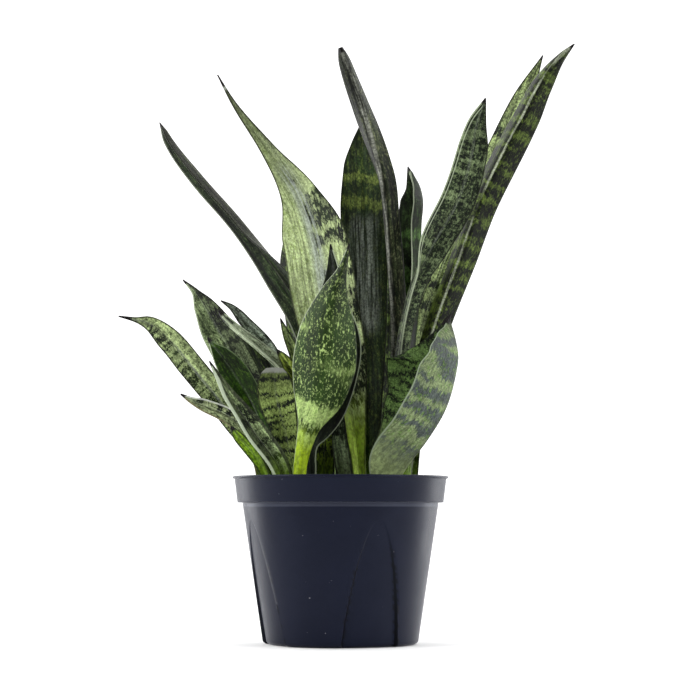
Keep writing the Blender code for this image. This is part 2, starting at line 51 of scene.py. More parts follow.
# ---- The same sizes as the frame's pot ----
RIM_RADIUS = 0.0760
POT_HEIGHT = 0.1170
WALL = 0.0015
LIP_HEIGHT = 0.0016
LIP_OVERHANG = 0.0014
BAND_HEIGHT = 0.0185
BAND_TAPER = 0.0021
SHOULDER_STEP = 0.0038
NECK_HEIGHT = 0.0020
BODY_TAPER_DEG = 8.5
FOOT_FILLET = 0.0035
FLOOR_THICKNESS = 0.0020
PANEL_COUNT = 4
PANEL_AZIMUTH_DEG = 23.0
PANEL_HALF_ANGLE_DEG = 21.5
PANEL_TOP = 0.0860
PANEL_CURVE = 0.62
PANEL_DEPTH = 0.0026
PANEL_EDGE_DEG = 1.2
SOIL_TOP = POT_HEIGHT - 0.0200

# ---- Leaves, as in the frame ----
PLANTING_DEPTH = 0.0100
LEAF_THICKNESS = 0.0032
LEAF_BASE_THICKNESS = 0.0050
LEAF_EDGE_THICKNESS = 0.0007
LEAF_THICKEST_SHARE = 0.45
BASE_SWELL_HEIGHT = 0.0450
CREASE_WIDTH = 0.15
EDGE_THINNING = 1.6
FOLD_SAMPLES = 81
TANGENT_STEP = 0.002

# ---- Drain holes, and the bed of potting mix ----
DRAIN_HOLES = 8
DRAIN_RADIUS = 0.0040
DRAIN_CIRCLE_RADIUS = 0.0370
SOIL_CROWN = 0.0015
SOIL_WALL_GAP = 0.0006
SOIL_SINK = 0.0012
SOIL_DEPTH = 0.012
LUMP_HEIGHT = 0.0011
LUMPS = 9
PEAT, GRIT, BARK = 0.0, 0.5, 1.0

# ---- Fineness of the visual meshes ----
RING_SIDE_POINTS = 31
RING_SPACING = 0.0032
EDGE_COLUMNS = 6
SIDE_COLUMNS = 12
FLOOR_COLUMNS = 14
BODY_RINGS = 56
CORNER_RADIUS = 0.0007
FOOT_RINGS = 7
SOIL_RINGS = 60
SOIL_COLUMNS = 160
CRUMBS = 1500
FLOOR_SIDES = 96

# ---- Gentle waviness of the leaves, and constants of their materials ----
RIPPLE_LONG_MM = 17.0
RIPPLE_SHORT_MM = 7.3
RIPPLE_FULL_WIDTH_MM = 12.0
RIPPLE_WIDTH_SHARE = 0.012
RIPPLE_FOLD_DEG = 1.5
SEED_STEP = 5.3
MIDRIB_FADE = 15
FOOT_RAGGED = 10.0
LEAF_RELIEF = 0.0006
LEAF_SPECULAR = 0.14

# ---- Studio ----
CAMERA_PLACE = (-0.0007, -1.5, 0.087)
CAMERA_TILT_DEG = 4.831
CAMERA_LENS = 112.61
WORLD_FRONT = 0.22
WORLD_BACK = 1.5
FLOOR_REACH = 0.9
FLOOR_DROP = 0.0002

# Every leaf is a list of stations from the soil up to the tip, in millimetres and degrees:
# (x, y, height above the soil, width across the flattened blade, turn, fold).
# Turn 0 has the leaf's inner face towards -Y, and a positive turn swings it towards +X.
# Fold is how far each half of the blade is raised from flat, and 0 is a flat blade.
LEAVES_MM = {
    "leaf_tall_left_dark": [
        (-10, 18, 0, 12, -20, 50), (-11, 20, 60, 18, -20, 40), (-17, 24, 121, 30, -25, 32),
        (-43, 32, 166, 26, -40, 36), (-72, 40, 205, 19, -65, 58), (-103, 48, 241, 18, -65, 60),
        (-126, 54, 270, 11, -60, 60), (-134, 56, 283, 1, -60, 50),
    ],
    "leaf_tall_left_light": [
        (14, 0, 0, 13, 0, 50), (13, 0, 24, 13, 0, 46), (9, 0, 60, 22, 0, 36), (-1, 1, 100, 44, 0, 27),
        (-12, 4, 150, 51, 0, 26), (-18, 8, 186, 50, 0, 26), (-30, 15, 222, 30, 0, 30),
        (-53, 23, 257, 13, 0, 36), (-79, 30, 294, 4, 0, 36), (-90, 33, 314, 1, 0, 30),
    ],
    "leaf_tall_centre_twist": [
        (33, 8, 0, 12, 150, 50), (36, 8, 60, 16, 145, 50), (38, 8, 120, 19, 140, 50),
        (35, 6, 178, 20, 140, 50), (33, 4, 203, 19, 140, 50), (30, 2, 231, 20, 145, 50),
        (26, 0, 247, 20, 155, 50), (20, -3, 268, 20, 172, 50), (14, -6, 286, 18, 182, 50),
        (6, -10, 308, 14, 188, 48), (3, -12, 316, 11, 188, 45), (0, -13, 324, 4, 188, 40),
    ],
    "leaf_tall_centre_dark": [
        (21, 24, 0, 13, 0, 50), (20, 25, 60, 22, 0, 38), (18, 28, 130, 33, 0, 24), (17, 33, 211, 36, 0, 20),
        (16, 37, 246, 29, 0, 20), (15, 39, 264, 15, 0, 22), (15, 40, 279, 1, 0, 20),
    ],
    "leaf_centre_right_small": [
        (42, 25, 0, 10, -40, 48), (50, 26, 90, 18, -55, 54), (56, 26, 160, 28, -60, 58),
        (57, 26, 203, 33, -60, 60), (58, 26, 221, 31, -60, 60), (56, 26, 230, 21, -60, 58),
        (52, 26, 238, 9, -60, 55), (49, 26, 245, 1, -60, 45),
    ],
    "leaf_front_centre": [
        (-28, -34, 0, 11, 180, 55), (-28, -35, 24, 11, 180, 52), (-23, -37, 49, 16, 180, 46),
        (-15, -40, 75, 42, 180, 44), (-11, -42, 98, 50, 180, 42), (-9, -43, 118, 45, 180, 42),
        (-4, -44, 147, 21, 180, 45), (1, -44, 161, 8, 180, 45), (6, -45, 179, 1, 180, 30),
    ],
    "leaf_front_centre_inner": [
        (-21, -18, 0, 10, 0, 46), (-21, -18, 24, 10, 0, 46), (-21, -19, 42, 13, 0, 38),
        (-17, -19, 51, 21, 0, 26), (-11, -19, 65, 29, 0, 20), (-8, -19, 87, 39, 0, 18),
        (-6, -19, 107, 42, 0, 18), (-7, -20, 121, 40, 0, 18), (-6, -20, 139, 26, 0, 20),
        (-5, -21, 155, 14, 0, 20), (-6, -22, 173, 5, 0, 20), (-7, -22, 182, 1, 0, 20),
    ],
    "leaf_right_centre_twist": [
        (34, -2, 0, 12, 60, 50), (37, -1, 60, 15, 60, 50), (43, -2, 124, 18, 60, 48),
        (53, -5, 160, 20, 55, 46), (66, -9, 185, 25, 15, 26), (81, -12, 210, 26, 0, 20),
        (93, -18, 249, 23, 0, 20), (96, -22, 267, 15, 0, 22), (102, -26, 285, 1, 0, 20),
    ],
    "leaf_tall_right_rear": [
        (50, 30, 0, 12, 0, 50), (53, 34, 60, 17, 0, 40), (62, 38, 136, 27, 0, 26), (86, 46, 199, 30, 0, 22),
        (113, 56, 246, 27, 0, 24), (135, 66, 300, 17, 0, 26), (152, 72, 337, 1, 0, 24),
    ],
    "leaf_tall_right_front": [
        (44, 8, 0, 12, 165, 50), (46, 8, 40, 16, 165, 48), (56, 8, 90, 22, 165, 48),
        (70, 8, 135, 26, 165, 48), (85, 6, 175, 28, 163, 48), (100, 4, 217, 31, 163, 50),
        (115, 0, 248, 32, 163, 50), (130, -6, 276, 29, 163, 50), (142, -10, 299, 22, 163, 50),
        (155, -14, 316, 10, 163, 48), (166, -16, 326, 1, 163, 40),
    ],
    "leaf_right_front_low": [
        (30, -26, 0, 26, -90, 60), (42, -30, 23, 60, -89, 65), (60, -34, 47, 80, -76, 63),
        (71, -34, 66, 90, -73, 65), (77, -32, 86, 97, -67, 65), (79, -31, 101, 97, -58, 65),
        (78, -30, 113, 66, -64, 58), (76, -29, 123, 24, -66, 56), (75, -29, 127, 9, -66, 50),
        (77, -29, 132, 1, -66, 40),
    ],
    "leaf_left_low_arch": [
        (-47, 15, 0, 11, 0, 48), (-53, 15, 28, 14, 0, 38), (-76, 12, 61, 19, 0, 24),
        (-106, 6, 98, 19, 0, 20), (-121, 0, 116, 18, 0, 22), (-136, -6, 128, 11, 0, 30),
        (-145, -10, 130, 4, 0, 34), (-156, -14, 132, 1, 0, 20),
    ],
    "leaf_left_mid_upright": [
        (-38, 22, 0, 11, 0, 50), (-49, 24, 45, 18, 0, 38), (-68, 28, 88, 28, 0, 26),
        (-87, 34, 123, 27, 0, 24), (-99, 38, 144, 17, 0, 26), (-106, 40, 155, 6, 0, 28),
        (-115, 42, 164, 1, 0, 24),
    ],
    "leaf_left_small_curl": [
        (-24, 32, 0, 9, 0, 48), (-36, 36, 60, 12, 0, 40), (-51, 42, 112, 12, 0, 34),
        (-70, 48, 134, 10, 0, 34), (-80, 52, 145, 5, 0, 34), (-88, 54, 150, 1, 0, 24),
    ],
    "leaf_left_strip": [
        (-27, 3, 0, 11, 30, 50), (-30, 2, 50, 14, 40, 48), (-39, 0, 91, 15, 50, 46),
        (-57, -4, 109, 12, 50, 46), (-74, -8, 123, 9, 50, 46), (-83, -11, 132, 6, 50, 46),
        (-86, -12, 136, 2, 50, 40),
    ],
    "leaf_left_mid_dark": [
        (-41, -2, 0, 10, 0, 48), (-50, -3, 38, 14, 0, 36), (-63, -4, 72, 21, 0, 26),
        (-74, -4, 91, 22, 0, 24), (-84, -4, 105, 15, 0, 26), (-90, -4, 112, 6, 0, 28),
        (-94, -4, 118, 1, 0, 24),
    ],
    "leaf_left_low_small": [
        (-54, 3, 0, 9, 0, 46), (-58, 4, 33, 11, 0, 34), (-77, 3, 61, 12, 0, 26), (-96, 1, 70, 10, 0, 26),
        (-106, -1, 74, 5, 0, 26), (-113, -2, 78, 1, 0, 20),
    ],
    "leaf_left_low_bright": [
        (-50, -14, 0, 8, 0, 46), (-54, -12, 24, 9, 0, 40), (-63, -10, 38, 10, 0, 30),
        (-72, -9, 48, 8, 0, 28), (-77, -8, 55, 1, 0, 20),
    ],
    "leaf_left_front_fold": [
        (-38, -24, 0, 14, 12, 50), (-42, -26, 23, 20, 12, 50), (-59, -31, 49, 22, 12, 50),
        (-68, -35, 62, 18, 12, 50), (-78, -40, 76, 12, 12, 48), (-84, -43, 87, 6, 12, 44),
        (-90, -46, 98, 1, 12, 30),
    ],
    "leaf_left_blunt": [
        (-31, -14, 0, 11, 0, 50), (-33, -15, 24, 13, 0, 44), (-39, -17, 52, 21, 0, 32),
        (-45, -20, 78, 28, 0, 24), (-46, -22, 90, 22, 0, 22), (-46, -23, 95, 12, 0, 20),
    ],
    "leaf_left_inner_pale": [
        (-22, 14, 0, 9, 0, 46), (-25, 13, 60, 12, 0, 38), (-32, 12, 106, 10, 0, 34),
        (-38, 12, 120, 7, 0, 34), (-43, 12, 133, 1, 0, 24),
    ],
    "leaf_left_inner_short": [
        (-16, -1, 0, 9, 0, 46), (-24, -7, 60, 11, 0, 38), (-34, -9, 94, 12, 0, 34),
        (-41, -10, 104, 7, 0, 34), (-45, -10, 109, 1, 0, 24),
    ],
    "leaf_inner_olive": [
        (-10, -6, 0, 10, 0, 46), (-11, -7, 24, 16, 0, 36), (-11, -9, 52, 15, 0, 34),
        (-10, -10, 75, 8, 0, 32), (-9, -10, 90, 1, 0, 24),
    ],
    "leaf_inner_banded": [
        (6, -12, 0, 9, 0, 46), (2, -13, 26, 14, 0, 36), (-1, -14, 50, 12, 0, 32), (-2, -13, 70, 8, 0, 32),
        (-2, -12, 84, 1, 0, 24),
    ],
    "leaf_back_left": [
        (-6, 38, 0, 14, 170, 46), (-14, 42, 60, 22, 170, 36), (-26, 52, 130, 32, 170, 24),
        (-33, 60, 178, 28, 170, 22), (-40, 66, 208, 1, 170, 20),
    ],
    "leaf_back_small": [
        (-24, 44, 0, 10, 0, 50), (-40, 48, 45, 18, 0, 38), (-54, 52, 80, 24, 0, 30),
        (-63, 54, 104, 21, 0, 28), (-70, 55, 120, 10, 0, 28), (-73, 55, 129, 1, 0, 24),
    ],
    "leaf_back_centre": [
        (16, 40, 0, 13, 185, 50), (24, 45, 60, 22, 185, 36), (32, 52, 120, 28, 185, 24),
        (34, 57, 165, 26, 185, 22), (34, 60, 196, 14, 185, 22), (34, 62, 212, 1, 185, 20),
    ],
    "leaf_back_right": [
        (33, 48, 0, 12, 190, 50), (43, 54, 60, 20, 190, 36), (60, 66, 120, 26, 190, 24),
        (70, 74, 158, 20, 190, 22), (76, 80, 180, 1, 190, 20),
    ],
}

# A pale margin line: partly the leaf's own pale edge, partly painted highlight.
LIGHT_LINE = (0.38, 0.44, 0.30)

# ---- How each leaf differs from the usual look ----
LOOKS = {
    "leaf_tall_left_dark": dict(
        seed=1.0, band_share=0.9, pale=(0.07, 0.09, 0.04), fleck=0.35, streak=0.8, spine_grey=0.6,
        spine_width=1.5, back_grey=0.3, grey=(0.09, 0.08, 0.07), left_line=(0.18, 0.2, 0.15),
    ),
    "leaf_tall_left_light": dict(
        seed=2.0, slot="leaf_pale", left_pale=0.95, band_every=13.0, band_share=0.53,
        pale=(0.43, 0.52, 0.25), dark=(0.01, 0.02, 0.004), spine_grey=0.85, spine_width=9.0,
        spine_from=140.0, spine_to=262.0, grey=(0.3, 0.34, 0.29), base=(0.6, 0.85, 0.1), base_from=44.0,
        base_to=84.0, tip_shade=0.16, tip_fade=170.0, grain=0.3, mid=(0.2, 0.27, 0.08), streak=0.38,
        fleck_grid=(0.42, 0.16), tip_length=10.0, neck=(0.24, 0.26, 0.22), more=(322.0, 104.0, 0.34),
        fleck=0.6, jag=22.0,
    ),
    "leaf_tall_centre_twist": dict(
        seed=3.0, band_share=0.9, pale=(0.09, 0.1, 0.05), dark=(0.018, 0.024, 0.01), fleck=0.6, streak=0.8,
        right_shade=0.6, spine_grey=0.95, spine_width=1.6, grey=(0.15, 0.155, 0.13), left_shade=1.1,
    ),
    # Its wide grey midrib stripe is a painted gloss highlight.
    "leaf_tall_centre_dark": dict(
        seed=4.0, band_share=0.9, stripes=((237.0, 3.4), (218.0, 3.6)), pale=(0.1, 0.135, 0.028),
        dark=(0.016, 0.032, 0.009), fleck=0.4, spine_grey=0.8, spine_width=16.0, spine_from=118.0,
        spine_to=215.0, grey=(0.17, 0.19, 0.165), streak=0.45, deep=(0.007, 0.014, 0.004),
    ),
    "leaf_centre_right_small": dict(
        seed=5.0, band_share=0.6, pale=(0.06, 0.12, 0.03), fleck=0.3, right_line=LIGHT_LINE,
    ),
    "leaf_front_centre": dict(
        seed=6.0, slot="leaf_pale", band_share=0.68, more=(44.0, 44.0, 0.26), fleck=0.9, fleck_share=0.62,
        spine_grey=0.0, jag=22.0, pale=(0.36, 0.49, 0.16), dark=(0.022, 0.048, 0.008), base_from=34.0,
        base_to=58.0, base=(0.36, 0.52, 0.015), right_line=LIGHT_LINE, tip_shade=0.45, tip_fade=70.0,
        deep=(0.012, 0.027, 0.004), mid=(0.13, 0.22, 0.045), fleck_grid=(0.38, 0.2), grain=0.25,
        streak=0.25, band_soft=0.1, crease=0.3,
    ),
    # Kept nearly black all over: painted shade, where it stands in the shadow of the front leaf.
    "leaf_front_centre_inner": dict(
        seed=7.0, band_share=0.9, fleck=0.06, dark=(0.006, 0.01, 0.005), deep=(0.003, 0.004, 0.003),
        base=(0.02, 0.03, 0.02), right_line=LIGHT_LINE, line_width=0.6, crease=0.5,
    ),
    "leaf_right_centre_twist": dict(
        seed=8.0, band_share=0.57, band_every=7.0, pale=(0.12, 0.16, 0.075), fleck=0.62, fleck_share=0.54,
        left_line=LIGHT_LINE, warp=8.0, jag=8.0, dark=(0.008, 0.014, 0.006), fleck_grid=(0.5, 0.4),
        rail=2.4, streak=0.4,
    ),
    "leaf_tall_right_rear": dict(seed=9.0, band_share=0.4, pale=(0.24, 0.31, 0.12), fleck=0.6, grain=0.6),
    "leaf_tall_right_front": dict(
        seed=10.0, band_share=0.53, band_every=7.0, warp=5.0, left_shade=0.45, pale=(0.13, 0.19, 0.035),
        spine_grey=0.95, spine_width=0.8, right_line=LIGHT_LINE, line_amount=0.5,
        dark=(0.006, 0.011, 0.002), grey=(0.3, 0.33, 0.24), right_shade=0.62, rail=0.9,
        deep=(0.002, 0.004, 0.001),
    ),
    # Its dark spine stripe is painted shade along the keel, and its grey back a painted sheen.
    "leaf_right_front_low": dict(
        seed=11.0, band_share=0.55, fleck=0.7, back_grey=1.0, pale=(0.11, 0.19, 0.05),
        grey=(0.052, 0.064, 0.058), right_line=(0.22, 0.27, 0.18), base_from=12.0, base_to=52.0,
        base=(0.4, 0.5, 0.22), streak=0.25, grey_mottle=(0.14, 0.18, 0.085), grain=0.35, band_every=9.0,
        fleck_grid=(0.35, 0.3), dark=(0.007, 0.014, 0.004), jag=18.0, spine=(0.01, 0.012, 0.008),
        spine_width=9.0, spine_grey=0.9, gloss=0.7, tip_length=7.0, line_width=1.0, crease=0.9,
    ),
    "leaf_left_low_arch": dict(
        seed=12.0, band_share=0.45, band_every=5.0, warp=4.0, jag=5.0, pale=(0.31, 0.39, 0.17),
        tip_length=9.0, right_pale=0.9, left_shade=0.95, spine_grey=0.8, streak=0.4,
        fleck_grid=(0.45, 0.35), dark=(0.026, 0.042, 0.012), fleck=0.8, crease=0.8,
    ),
    "leaf_left_mid_upright": dict(
        seed=13.0, band_share=0.5, left_pale=0.4, pale=(0.24, 0.31, 0.15), left_line=LIGHT_LINE,
        band_every=9.0, right_shade=0.4, fleck_grid=(0.42, 0.3),
    ),
    "leaf_left_small_curl": dict(seed=14.0, band_share=0.46, pale=(0.3, 0.36, 0.28)),
    "leaf_left_strip": dict(
        seed=15.0, slot="leaf_pale", band_share=0.45, pale=(0.34, 0.4, 0.26), left_line=LIGHT_LINE,
        right_line=LIGHT_LINE,
    ),
    "leaf_left_mid_dark": dict(
        seed=16.0, band_share=0.6, pale=(0.045, 0.095, 0.008), fleck=0.5, dark=(0.012, 0.034, 0.002),
        left_line=LIGHT_LINE, deep=(0.006, 0.014, 0.002), right_line=(0.12, 0.17, 0.08), line_width=0.5,
    ),
    # Its near-white upper margin line is a painted highlight.
    "leaf_left_low_small": dict(
        seed=17.0, band_share=0.5, band_every=7.0, left_pale=0.7, left_line=(0.16, 0.12, 0.06),
        right_line=(0.75, 0.78, 0.72), pale=(0.3, 0.36, 0.18), line_width=0.9, line_amount=0.6, fleck=0.7,
        crease=0.8,
    ),
    "leaf_left_low_bright": dict(
        seed=18.0, slot="leaf_bright", dark=(0.05, 0.11, 0.004), deep=(0.035, 0.08, 0.003),
        pale=(0.17, 0.3, 0.015),
    ),
    "leaf_left_front_fold": dict(
        seed=19.0, band_share=0.46, fleck=0.8, pale=(0.22, 0.29, 0.13), left_shade=0.2,
        left_line=(0.5, 0.58, 0.42), line_width=2.2, fleck_grid=(0.45, 0.35),
    ),
    "leaf_left_blunt": dict(
        seed=20.0, band_share=0.47, band_every=4.0, warp=6.0, jag=13.0, pale=(0.3, 0.4, 0.11),
        tip=(0.22, 0.23, 0.2), tip_length=3.0, tip_shade=0.25, streak=0.2, mid=(0.13, 0.19, 0.04),
        tip_fade=30.0, crease=0.7,
    ),
    "leaf_left_inner_pale": dict(
        seed=21.0, slot="leaf_pale", left_pale=0.8, right_pale=0.8, pale=(0.26, 0.34, 0.12),
    ),
    "leaf_left_inner_short": dict(seed=22.0, slot="leaf_bright", band_share=0.42, pale=(0.3, 0.4, 0.06)),
    "leaf_inner_olive": dict(
        seed=23.0, slot="leaf_bright", band_share=0.54, band_every=6.0, pale=(0.2, 0.3, 0.03),
    ),
    "leaf_inner_banded": dict(seed=24.0, band_share=0.48, pale=(0.2, 0.27, 0.14), base=(0.1, 0.14, 0.05)),
    "leaf_back_left": dict(seed=25.0),
    # Kept nearly black: painted shade, where it fills the clump's shadow.
    "leaf_back_small": dict(seed=28.0, band_share=0.9, fleck=0.2, dark=(0.008, 0.016, 0.005)),
    "leaf_back_centre": dict(seed=26.0),
    "leaf_back_right": dict(seed=27.0),
}


# ---- Node building ----


class Nodes:
    """Short calls for building the node tree of a material or of the world."""

    def __init__(self, owner, shader="Principled BSDF"):
        owner.use_nodes = True
        self.owner = owner
        self.tree = owner.node_tree
        self.shader = self.tree.nodes[shader]

    def put(self, socket, value):
        """Link a socket to a socket, or set it to a plain value."""
        if isinstance(value, bpy.types.NodeSocket):
            self.tree.links.new(value, socket)
        elif isinstance(value, tuple) and socket.type == "RGBA":
            socket.default_value = (*value, 1.0)
        else:
            socket.default_value = value

    def add(self, kind, inputs, **settings):
        """A new node with its settings made and its inputs linked or set."""
        node = self.tree.nodes.new("ShaderNode" + kind)
        for name, value in settings.items():
            setattr(node, name, value)
        for key, value in inputs.items():
            self.put(node.inputs[key], value)
        return node

    def math(self, operation, first, second=0.0, third=0.0):
        """One sum on up to three values."""
        return self.add("Math", {0: first, 1: second, 2: third}, operation=operation).outputs[0]

    def times(self, first, second):
        """Two values multiplied."""
        return self.math("MULTIPLY", first, second)

    def scaled(self, value, factor, offset):
        """A value times a factor, plus an offset."""
        return self.math("MULTIPLY_ADD", value, factor, offset)

    def between(self, value, low, high, **span):
        """0 below low, 1 above high and smooth between; low may be the larger one."""
        inputs = {"Value": value, "From Min": low, "From Max": high, **span}
        return self.add("MapRange", inputs, interpolation_type="SMOOTHSTEP").outputs["Result"]

    def mix(self, share, first, second):
        """A colour between two colours."""
        return self.add("Mix", {0: share, 6: first, 7: second}, data_type="RGBA").outputs[2]

    def shade(self, colour, value):
        """A colour made lighter or darker by a factor."""
        return self.add("VectorMath", {0: colour, "Scale": value}, operation="SCALE").outputs[0]

    def vector(self, x, y, z):
        """A vector from three numbers."""
        return self.add("CombineXYZ", {0: x, 1: y, 2: z}).outputs[0]

    def noise(self, vector, detail=1.0, roughness=0.5, scale=1.0):
        """Smooth noise around 0.5."""
        inputs = {"Vector": vector, "Scale": scale, "Detail": detail, "Roughness": roughness}
        return self.add("TexNoise", inputs).outputs["Fac"]

    def parts(self, vector):
        """The three parts of a vector."""
        return self.add("SeparateXYZ", {0: vector}).outputs

    def attribute(self, name):
        """The three parts of a mesh attribute."""
        return self.parts(self.add("Attribute", {}, attribute_name=name).outputs["Vector"])

    def position(self):
        """The surface point in the object's own axes, in metres."""
        return self.add("TexCoord", {}).outputs["Object"]

    def bump(self, height, distance):
        """Raise the surface by a height of 0 to 1 times a distance."""
        node = self.add("Bump", {"Height": height, "Distance": distance, "Strength": 1.0})
        self.put(self.shader.inputs["Normal"], node.outputs[0])

    def finish(self, colour, roughness, specular):
        """Connect colour and roughness, set the specular level, and return the material."""
        self.put(self.shader.inputs["Base Color"], colour)
        self.put(self.shader.inputs["Roughness"], roughness)
        self.shader.inputs["Specular IOR Level"].default_value = specular
        return self.owner


# ---- Leaf material ----

# The usual look of a leaf, in millimetres and shares from 0 to 1.
LOOK = dict(
    # A slot name, which nothing reads, and how sharply the blade folds at its midrib.
    slot="leaf_dark",
    crease=1.0,
    # Colours of the green: the ground with its deeper blotches, the bands, their dark flecks, and the
    # painted sheen of the back.
    dark=(0.014, 0.025, 0.008),
    deep=(0.003, 0.006, 0.002),
    pale=(0.150, 0.225, 0.050),
    mid=None,
    grey=(0.170, 0.190, 0.160),
    grey_mottle=None,
    back_grey=0.0,
    # Cross bands: spacing, noise level they start at, softness, drift and raggedness along the blade.
    band_every=15.0,
    band_share=0.52,
    band_soft=0.025,
    warp=12.0,
    jag=14.0,
    # Single bands as (place, half width), and one stretch with more bands as (middle, reach, amount).
    stripes=(),
    more=(0.0, 1.0, 0.0),
    # Flecks: noise cycles per mm across and along, strength, and the noise level they start at.
    fleck_grid=(0.40, 0.15),
    fleck=0.55,
    fleck_share=0.57,
    # Contrast of the lines along the blade and of the fine grain, and roughness.
    streak=0.55,
    grain=0.45,
    gloss=0.42,
    # Each half of the blade: how much of it is pale, and a factor that paints it lighter or darker, as
    # painted light and shade.
    left_pale=0.0,
    right_pale=0.0,
    left_shade=1.0,
    right_shade=1.0,
    # Midrib stripe, a painted sheen (a painted shade where its colour is dark): colour (the grey if None),
    # strength, half width, and where it starts and ends.
    spine=None,
    spine_grey=0.30,
    spine_width=2.0,
    spine_from=-50.0,
    spine_to=900.0,
    # Margin lines, and the distance from the left margin of a thin line inside it.
    left_line=(0.010, 0.012, 0.006),
    right_line=(0.010, 0.012, 0.006),
    line_amount=0.8,
    line_width=0.8,
    rail=None,
    # Foot of the blade: colour, and where it starts and stops to fade.
    base=(0.16, 0.28, 0.015),
    base_from=14.0,
    base_to=40.0,
    # Brightness at the tip and how far that reaches, the dry point, and a light ring under it.
    tip_shade=0.7,
    tip_fade=40.0,
    tip=(0.004, 0.003, 0.003),
    tip_length=4.0,
    neck=None,
)


class Blade(Nodes):
    """One leaf's node tree, with the places on its blade and the noises that its patterns share."""

    def __init__(self, name, look):
        super().__init__(bpy.data.materials.new(name))
        self.seed = look["seed"] * SEED_STEP
        self.across, self.along, self.edge = self.attribute("blade")
        share, self.tip, self.face = self.attribute("place")
        self.left = self.between(share, 0.02, -0.12)
        self.right = self.between(share, -0.02, 0.12)
        x, y = look["fleck_grid"]
        self.flecks = self.pattern(x, y, 5, 4.0, 0.7)
        self.fine = self.pattern(2.0 * x, 2.1 * y, 6, 2.0, 0.6)
        self.lines = self.pattern(0.50, 0.025, 4, 3.0, 0.7)

    def pattern(self, x, y, offset, detail=1.0, roughness=0.5, lengthways=None):
        """Noise with x cycles per mm across the blade and y along it."""
        upwards = self.times(self.along if lengthways is None else lengthways, y)
        place = self.vector(self.times(self.across, x), upwards, self.seed + offset)
        return self.noise(place, detail, roughness)

    def near(self, value, place, half, soft):
        """1 within half of a place, with soft ends."""
        distance = self.math("ABSOLUTE", self.math("SUBTRACT", value, place))
        return self.between(distance, half + soft, half - soft)


def bands(n, look):
    """Ragged cross bands, as plain noise and as a mask."""
    start = n.math("SUBTRACT", n.along, 0.5 * (look["warp"] + look["jag"]))
    drift = n.scaled(n.pattern(0.06, 0.02, 1), look["warp"], start)
    ragged = n.scaled(n.pattern(0.45, 0.05, 2, 4.0, 0.75), look["jag"], drift)
    plain = n.pattern(0.02, 1.0 / look["band_every"], 3, 1.5, 0.55, ragged)
    middle, reach, amount = look["more"]
    plain = n.scaled(n.near(n.along, middle, 0.6 * reach, 0.4 * reach), amount, plain)
    level, soft = look["band_share"], look["band_soft"]
    mask = n.between(plain, level - soft, level + soft)
    for place, half in look["stripes"]:
        mask = n.math("MAXIMUM", mask, n.near(ragged, place, half, 0.8))
    return plain, mask


def green(n, look, mask):
    """Dark green with pale flecks, crossed by pale bands with darker flecks in them."""
    fleck = n.between(n.flecks, look["fleck_share"] - 0.03, look["fleck_share"] + 0.03)
    speck = n.between(n.fine, 0.56, 0.64)
    dark = n.mix(n.between(n.pattern(0.08, 0.035, 7, 2.0), 0.38, 0.62), look["deep"], look["dark"])
    dark = n.mix(n.times(fleck, look["fleck"]), dark, look["pale"])
    dark = n.mix(n.times(speck, look["fleck"] * 0.7), dark, look["pale"])
    gap = n.times(n.between(n.flecks, 0.47, 0.39), 0.75)
    light = n.mix(gap, look["pale"], look["mid"] or look["dark"])
    gap = n.times(n.between(n.fine, 0.43, 0.35), 0.60)
    light = n.mix(gap, light, look["mid"] or look["deep"])
    pale = n.math("ADD", n.times(n.left, look["left_pale"]), n.times(n.right, look["right_pale"]))
    return n.mix(n.math("MAXIMUM", mask, pale), dark, light)


def back(n, look, colour, plain):
    """A grey painted sheen on the back face, mottled where the bands are, and each half of the blade
    painted lighter or darker, as painted light and shade.
    """
    # Painted sheen: grey over the back face.
    amount = n.times(n.between(n.face, 0.2, -0.2), look["back_grey"])
    amount = n.times(amount, n.between(n.flecks, 0.66, 0.50))
    sheen = n.mix(n.between(plain, 0.46, 0.56), look["grey"], look["grey_mottle"] or look["grey"])
    # Painted light and shade: each half of the blade made lighter or darker.
    factor = n.scaled(n.left, look["left_shade"] - 1.0, 1.0)
    factor = n.scaled(n.right, look["right_shade"] - 1.0, factor)
    return n.shade(n.mix(amount, colour, sheen), factor)


def midrib(n, look, colour):
    """A broken stripe along the midrib: painted sheen in grey, and painted shade on a leaf that gives it a
    dark colour.
    """
    width, start, end = look["spine_width"], look["spine_from"], look["spine_to"]
    stripe = n.between(n.math("ABSOLUTE", n.across), width, width * 0.2)
    span = n.times(n.between(n.along, start, start + MIDRIB_FADE), look["spine_grey"])
    span = n.times(span, n.between(n.along, end, end - MIDRIB_FADE))
    stripe = n.times(n.times(stripe, span), n.between(n.lines, 0.35, 0.55))
    return n.mix(stripe, colour, look["spine"] or look["grey"])


def texture(n, look, colour):
    """Fine lines along the blade, then a fine grain."""
    lines = n.between(n.lines, 0.34, 0.66)
    grain = n.between(n.pattern(0.75, 0.60, 10, 3.0, 0.7), 0.36, 0.64)
    for value, amount in ((lines, look["streak"]), (grain, look["grain"])):
        colour = n.shade(colour, n.scaled(value, 2 * amount, 1.0 - amount))
    return colour


def ends(n, look, colour):
    """A brighter foot with a ragged upper end, and less light towards the tip."""
    rise = n.scaled(n.pattern(0.5, 0.03, 8), 2 * FOOT_RAGGED, n.along)
    foot = n.between(rise, look["base_to"] + FOOT_RAGGED, look["base_from"] + FOOT_RAGGED)
    bright = n.mix(n.between(n.flecks, 0.4, 0.6), n.shade(look["base"], 0.5), look["base"])
    dim = look["tip_shade"]
    light = n.scaled(n.between(n.tip, 0.0, look["tip_fade"]), 1.0 - dim, dim)
    return n.shade(n.mix(foot, colour, bright), light)


